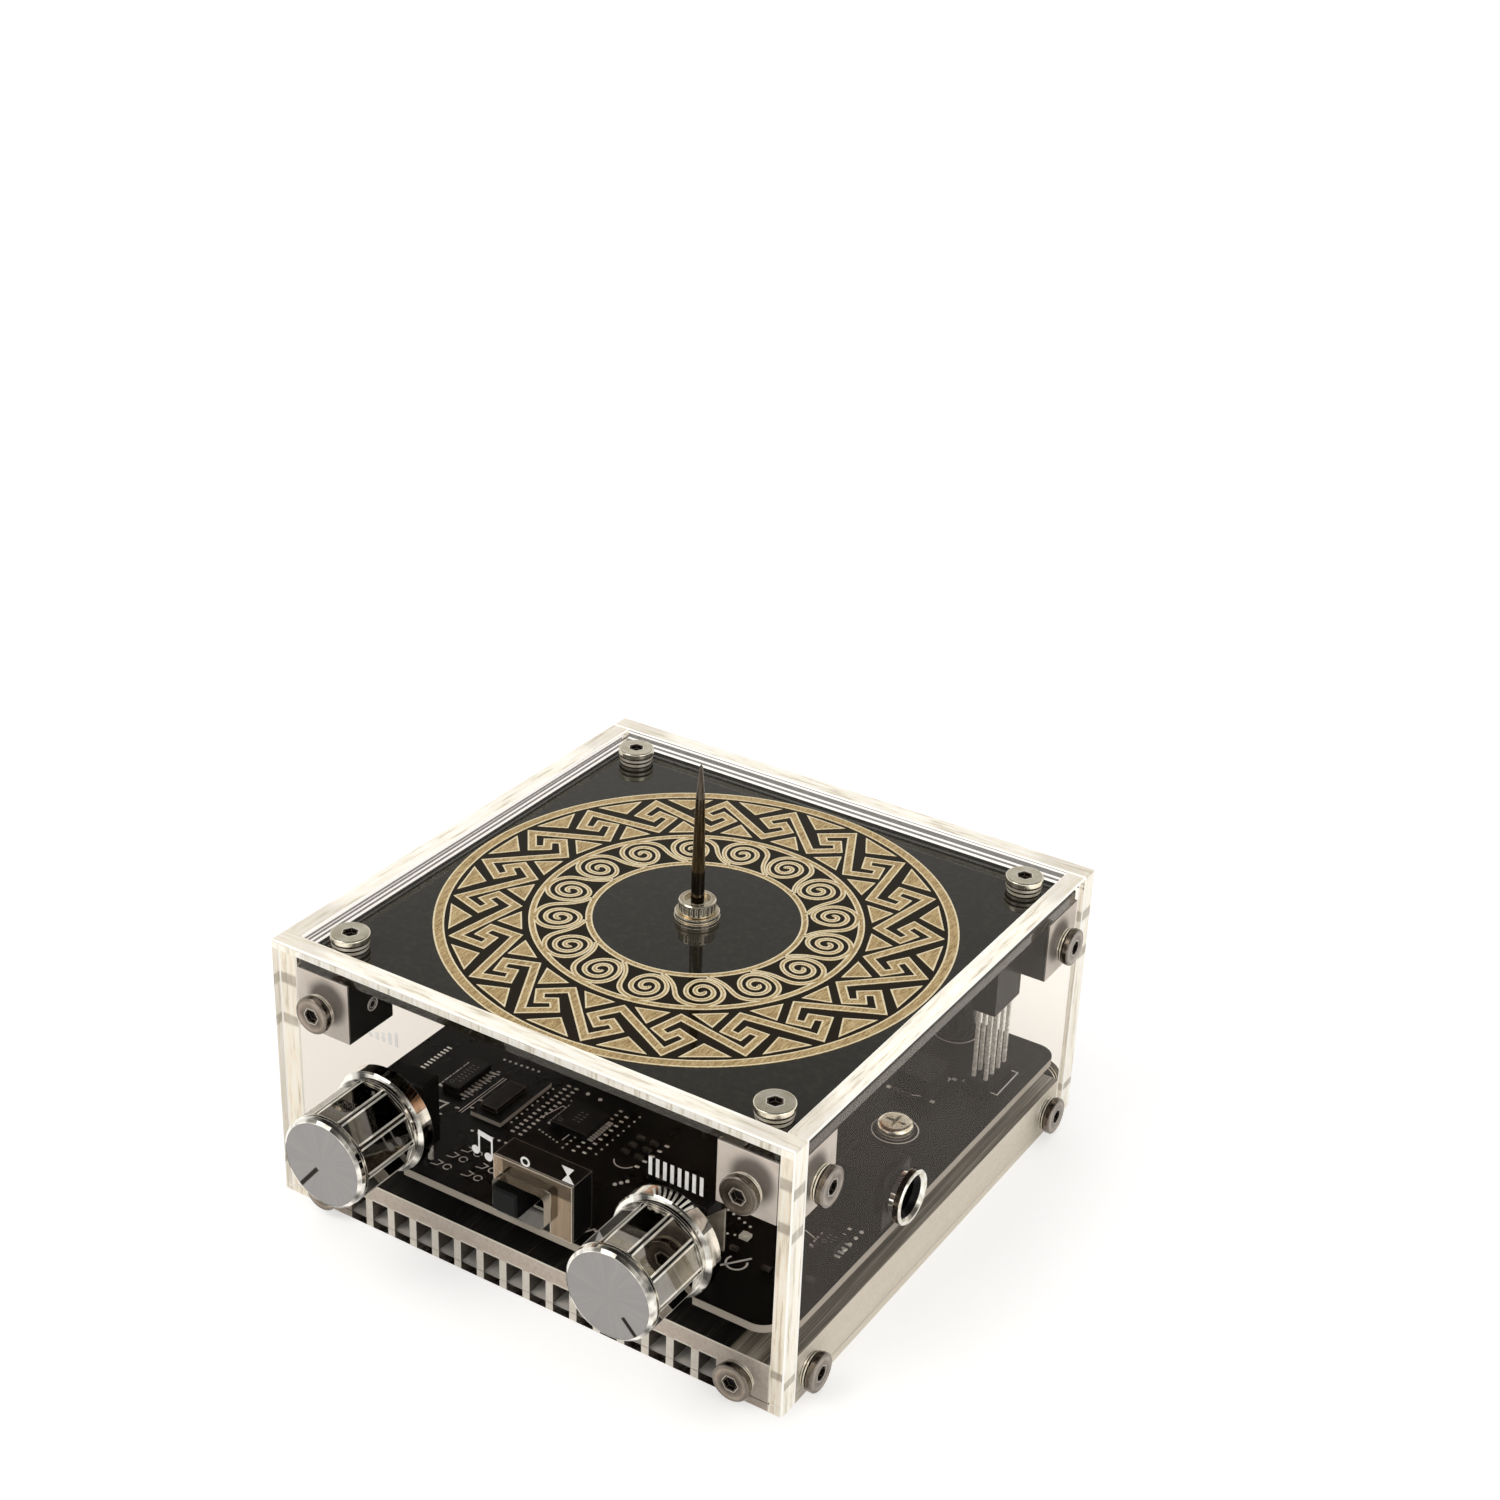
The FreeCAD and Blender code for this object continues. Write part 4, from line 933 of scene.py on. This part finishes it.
def build_board_print():
    """White silk print on the board: outlines, arcs and plain ticks in place of words."""
    shape = bmesh.new()

    def ink(points, width=0.16, closed=False):
        line(shape, points, width * INK_GAIN, BOARD_TOP + 0.005, 0.02, closed)

    def ticks(x, y, step_x, step_y, count, long_x, long_y):
        """Row of short strokes of three lengths."""
        for i in range(count):
            at_x = x + step_x * i
            at_y = y + step_y * i
            reach = 0.6 + 0.4 * ((i * 7) % 3) / 2
            ink([(at_x, at_y), (at_x + long_x * reach, at_y + long_y * reach)], 0.22)

    ticks(-32.6, -27.8, 0.0, 0.9, 13, 1.1, 0.25)
    ink([(-30.4, -31.4), (-30.2, -17.9)], 0.12)
    ink([(-29.8, -31.4), (-29.6, -17.9)], 0.12)
    ink([(-36.6, -30.9), (-33.8, -30.5), (-34.2, -33.5)], 0.3, True)
    for x, y in ((-32.9, -34.2), (-31.4, -30.8), (-29.1, -29.2), (-29.3, -26.4), (-26.5, -24.5),
                 (-26.6, -18.0)):
        ink([(x - 0.4, y), (x + 0.4, y + 0.3)], 0.28)
    ink([(-16.8, -24.4), (-15.5, -18.8), (-9.0, -20.5), (-9.3, -27.6)], 0.14)
    ink(arc_points(4.0, -26.0, 2.2, 200.0, 340.0, 9), 0.14)
    for x, y in ((-24.8, -46.8), (-23.8, -43.4), (-18.2, -46.3), (-17.4, -43.0), (-22.6, -40.6)):
        ink([(x, y), (x + 1.4, y + 0.2), (x + 1.9, y + 1.4), (x + 0.6, y + 1.6)], 0.16)
        ink(arc_points(x + 3.3, y + 0.8, 0.75, 0.0, 330.0, 12), 0.16)
    ink(arc_points(36.3, -38.8, 1.9, 150.0, 395.0, 16), 0.26)
    ink([(34.1, -41.3), (37.9, -36.4)], 0.3)
    ink([(38.8, -26.3), (41.5, -27.3), (45.2, -28.5)], 0.16)
    ink([(40.0, -14.6), (48.4, -15.0), (49.0, -15.5)], 0.16)
    ink([(41.2, -7.8), (44.9, -7.6)], 0.18)
    ink([(41.2, -18.6), (41.9, -17.8), (41.0, -17.4)], 0.2)
    ink([(45.6, -14.1), (47.3, -9.4), (44.9, -7.6)], 0.14)
    for x, y, radius, _ in CANS[:2]:
        ink(arc_points(x, y, radius + 0.6, 150.0, 395.0, 28), 0.2)
    ink([(40.0, 30.3), (47.5, 30.1), (47.4, 39.1), (40.2, 39.4)], 0.2, True)
    ink([(30.2, 20.7), (34.4, 20.7), (37.6, 22.3), (37.6, 29.7), (30.7, 29.7)], 0.2)
    ink([(10.0, -46.9), (10.9, -45.2)], 0.24)
    for x, y in BOARD_SCREWS:
        ink(arc_points(x, y, 4.4, 20.0, 380.0, 40), 0.18)
    ink([(-33.0, 19.0), (-12.0, 19.0), (-12.0, 30.0), (-33.0, 30.0)], 0.18, True)
    ink([(-4.0, 24.5), (16.0, 24.5), (16.0, 30.5), (-4.0, 30.5)], 0.18, True)
    x, y, radius, _ = CANS[2]
    ink(arc_points(x, y, radius + 0.6, 20.0, 340.0, 30), 0.2)
    ticks(-31.0, 32.0, 2.2, 0.0, 9, 0.3, 1.2)
    finish_piece("board_print", shape, MATERIALS["white_print"])


def build_board_parts():
    """Rows of solder pads, beads and chip legs on the board."""
    shape = bmesh.new()

    def row(x0, y0, x1, y1, count, radius, wide=0.0):
        """Beads, or flat pads if a width is given, evenly between two places."""
        for i in range(count):
            t = i / (count - 1)
            x = x0 + (x1 - x0) * t
            y = y0 + (y1 - y0) * t
            if wide:
                brick(shape, x, y, BOARD_TOP, wide, radius * 1.5, 0.14, 0.05)
            else:
                bead(shape, x, y, BOARD_TOP, radius, radius * 0.7)

    row(-38.9, -28.0, -38.7, -18.5, 13, 0.22)
    row(-45.0, -25.0, -45.0, -16.0, 10, 0.24, 1.1)
    for x in (-16.6, -18.4):
        row(x, -30.6, x, -13.0, 14, 0.30, 0.8)
    row(-20.3, -28.5, -20.3, -15.5, 9, 0.26)
    row(-7.8, -29.4, -7.8, -23.0, 6, 0.26)
    row(-5.6, -29.0, -5.6, -14.0, 11, 0.28, 0.7)
    row(-3.6, -28.4, -3.6, -15.0, 9, 0.30, 0.8)
    row(-1.6, -27.5, -1.6, -13.5, 9, 0.24)
    row(-15.2, -16.6, -9.6, -17.6, 6, 0.22)
    row(-14.6, -27.4, -9.7, -28.6, 6, 0.22)
    row(6.4, -32.9, 7.8, -30.9, 3, 0.42)
    row(6.7, -26.3, 7.7, -18.1, 5, 0.34, 0.9)
    row(45.0, -27.6, 45.0, -21.5, 4, 0.36, 0.7)
    row(47.2, -27.2, 47.2, -21.1, 4, 0.42)
    row(29.4, -33.4, 34.6, -31.9, 5, 0.26)
    row(24.6, -36.4, 24.9, -30.2, 5, 0.30, 0.8)
    row(27.2, -27.4, 33.0, -29.2, 5, 0.30)
    row(29.2, 20.4, 29.2, 29.6, 2, 0.55, 0.9)
    row(38.4, 20.9, 38.4, 29.9, 2, 0.50, 0.9)
    row(-33.8, -13.0, -26.0, -12.4, 7, 0.28)
    row(-24.6, -34.8, -14.2, -34.0, 8, 0.28, 0.6)
    row(-13.9, -13.0, -10.9, -13.2, 2, 0.42)
    row(9.8, -45.8, 14.4, -45.4, 4, 0.30)
    row(49.2, -15.5, 49.4, -12.0, 2, 0.40)
    for y in (21.0, 28.0):
        row(-31.2, y, -13.8, y, 12, 0.34)
    row(-2.4, 27.5, 14.4, 27.5, 8, 0.42)
    for x in (-44.0, -41.6):
        row(x, -6.0, x, 4.0, 6, 0.36, 1.0)
    finish_piece("board_pads", shape, MATERIALS["tinned"])


def build_chip_marks():
    """Dimples and plain tick rows on the chips."""
    shape = bmesh.new()
    for node, ticks, gap in (("control_chip", 7, 0.9), ("signal_chip", 4, 0.9), ("driver_chip", 3, 0.8)):
        low, high = (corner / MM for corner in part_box(node))
        top = high.z + 0.004
        torus(shape, Vector((low.x + 1.3, low.y + 1.3, top)), EAST, NORTH, 0.42, 0.05, 16, 5)
        middle = (low + high) / 2
        for lane in (-0.55, 0.55):
            for i in range(ticks):
                y = middle.y + (i - (ticks - 1) / 2) * gap
                reach = 0.25 + 0.15 * ((i * 5) % 3) / 2
                x = middle.x + lane
                line(shape, [(x - reach, y), (x + reach, y)], 0.16, top, 0.01)
    finish_piece("chip_marks", shape, MATERIALS["small_part_mark"])


def build_capacitor_tops():
    """Vent scores across the capacitor lids and a crimped ring under each rim."""
    shape = bmesh.new()
    for x, y, radius, height in CANS:
        top = BOARD_TOP + height
        for turn in (0.0, 60.0, 120.0):
            a = math.radians(turn)
            reach = 0.62 * radius
            line(shape, [(x - reach * math.cos(a), y - reach * math.sin(a)),
                         (x + reach * math.cos(a), y + reach * math.sin(a))], 0.16, top + 0.003, 0.02)
        torus(shape, Vector((x, y, top - 0.15)), EAST, NORTH, radius * 0.86, 0.22, 32)
    finish_piece("capacitor_tops", shape, BLACK_AND_SOCKET_SHADE)


def build_pointers():
    """Black filling of the pointer slot in each knob's cap."""
    for name, knob, turn, start in (("left", LEFT_KNOB, LEFT_MARK, LEFT_MARK_START),
                                    ("right", RIGHT_KNOB, RIGHT_MARK, RIGHT_MARK_START)):
        angle = math.radians(turn)
        along = Vector((math.sin(angle), 0.0, math.cos(angle)))
        across = Vector((math.cos(angle), 0.0, -math.sin(angle)))
        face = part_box(name + "_knob_cap")[0].y / MM
        middle = Vector((knob.x, face, knob.z))
        shape = bmesh.new()
        rings = []
        for depth, trim in ((0.29, 0.02), (0.06, 0.02), (0.02, 0.06)):
            corners = ((start + trim, -1), (MARK_END - trim, -1), (MARK_END - trim, 1), (start + trim, 1))
            rings.append([middle + NORTH * depth + along * run + across * (side * (MARK_WIDTH / 2 - trim))
                          for run, side in corners])
        loft(shape, rings)
        finish_piece(name + "_pointer", shape, BLACK_AND_SOCKET_SHADE, name + "_knob")


def build_block_ring():
    """Small bright ring on the inward face of the front left block."""
    shape = bmesh.new()
    face = Vector((-SCREW_AT + BLOCK_HALF, -SCREW_AT + 0.4, SIDE_SCREW_Z - 1.2))
    torus(shape, face, NORTH, UP, 1.25, 0.16)
    torus(shape, face, NORTH, UP, 0.75, 0.08)
    finish_piece("block_ring", shape, MATERIALS["tinned"])


# -------------------------------- stage, light and camera
def floor_material():
    """Pale floor that keeps the object's shadow and reads as white where it is lit."""
    made, tree, shader = surface("floor", Base_Color=(0.80, 0.80, 0.80), Roughness=0.9,
                                 Specular_IOR_Level=0.0)
    light = add(tree, "LightPath").outputs
    seen = either_of(tree, light["Is Camera Ray"], light["Is Glossy Ray"])
    seen = either_of(tree, seen, light["Is Transmission Ray"])
    x, y = millimetres(tree, place(tree))[:2]
    # the lift is left out where the object stands, a painted shade on the floor under it
    reach = either_of(tree, size_of(tree, x), size_of(tree, y))
    lift = times(tree, times(tree, seen, FLOOR_LIFT), above(tree, reach, SINK_HALF))
    close(tree, summed(tree, shader, add(tree, "Emission", {"Color": WHITE, "Strength": lift})))
    return made


def build_stage():
    mesh = bpy.data.meshes.new("floor")
    mesh.from_pydata([(FLOOR_REACH * i, FLOOR_REACH * j, 0) for i, j in CORNERS], [], [(0, 1, 2, 3)])
    floor = bpy.data.objects.new("floor", mesh)
    floor.location.z = -FLOOR_DROP
    bpy.context.scene.collection.objects.link(floor)
    mesh.materials.append(floor_material())


def build_world():
    """White to the eye; softer for what it lights; darker overhead in reflections, as in a room."""
    world = bpy.data.worlds.new("studio")
    bpy.context.scene.world = world
    world.use_nodes = True
    tree = world.node_tree
    tree.nodes.clear()
    light = add(tree, "LightPath").outputs
    up = axes(tree, add(tree, "TexCoord").outputs["Generated"])[2]
    room = ramp(tree, up, [(0.0, WHITE), (0.30, (0.92, 0.91, 0.89)), (0.52, (0.48, 0.47, 0.44)),
                           (0.72, (0.10, 0.095, 0.09)), (1.0, (0.05, 0.048, 0.045))])
    ambient = add(tree, "Background", {"Color": (1.0, 0.99, 0.97), "Strength": AMBIENT})
    mirrored = add(tree, "Background", {"Color": room})
    white = add(tree, "Background", {"Color": WHITE})
    glossy = mixed(tree, light["Is Glossy Ray"], ambient, mirrored)
    direct = either_of(tree, light["Is Camera Ray"], light["Is Transmission Ray"])
    shown = mixed(tree, direct, glossy, white)
    tree.links.new(shown.outputs[0], add(tree, "OutputWorld").inputs[0])


def add_softbox(name, spot, width, power):
    lamp = bpy.data.lights.new(name, "AREA")
    lamp.shape = "SQUARE"
    lamp.size = width
    lamp.energy = power
    lamp.color = LAMP_TINT
    holder = bpy.data.objects.new(name, lamp)
    holder.location = spot
    holder.rotation_euler = (-Vector(spot)).to_track_quat("-Z", "Y").to_euler()
    bpy.context.scene.collection.objects.link(holder)


def build_camera():
    azimuth, elevation, roll = (math.radians(a) for a in (AZIMUTH, ELEVATION, ROLL))
    back = Vector((math.sin(azimuth) * math.cos(elevation), -math.cos(azimuth) * math.cos(elevation),
                   math.sin(elevation)))
    level = Vector((math.cos(azimuth), math.sin(azimuth), 0.0))
    upright = back.cross(level)
    right = level * math.cos(roll) + upright * math.sin(roll)
    up = upright * math.cos(roll) - level * math.sin(roll)
    camera = bpy.data.cameras.new("camera")
    camera.lens = LENS
    camera.sensor_width = SENSOR
    camera.clip_start = 0.01
    holder = bpy.data.objects.new("camera", camera)
    matrix = Matrix((right, up, back)).transposed().to_4x4()
    matrix.translation = (back * DISTANCE + right * ASIDE[0] + up * ASIDE[1]) * MM
    holder.matrix_world = matrix
    bpy.context.scene.collection.objects.link(holder)
    bpy.context.scene.camera = holder


bpy.context.scene.view_settings.view_transform = "Standard"
dress_nodes()
build_socket_shades()
build_gold_borders()
build_board_print()
build_board_parts()
build_chip_marks()
build_capacitor_tops()
build_block_ring()
build_pointers()
build_stage()
build_world()
for softbox in SOFTBOXES:
    add_softbox(*softbox)
build_camera()
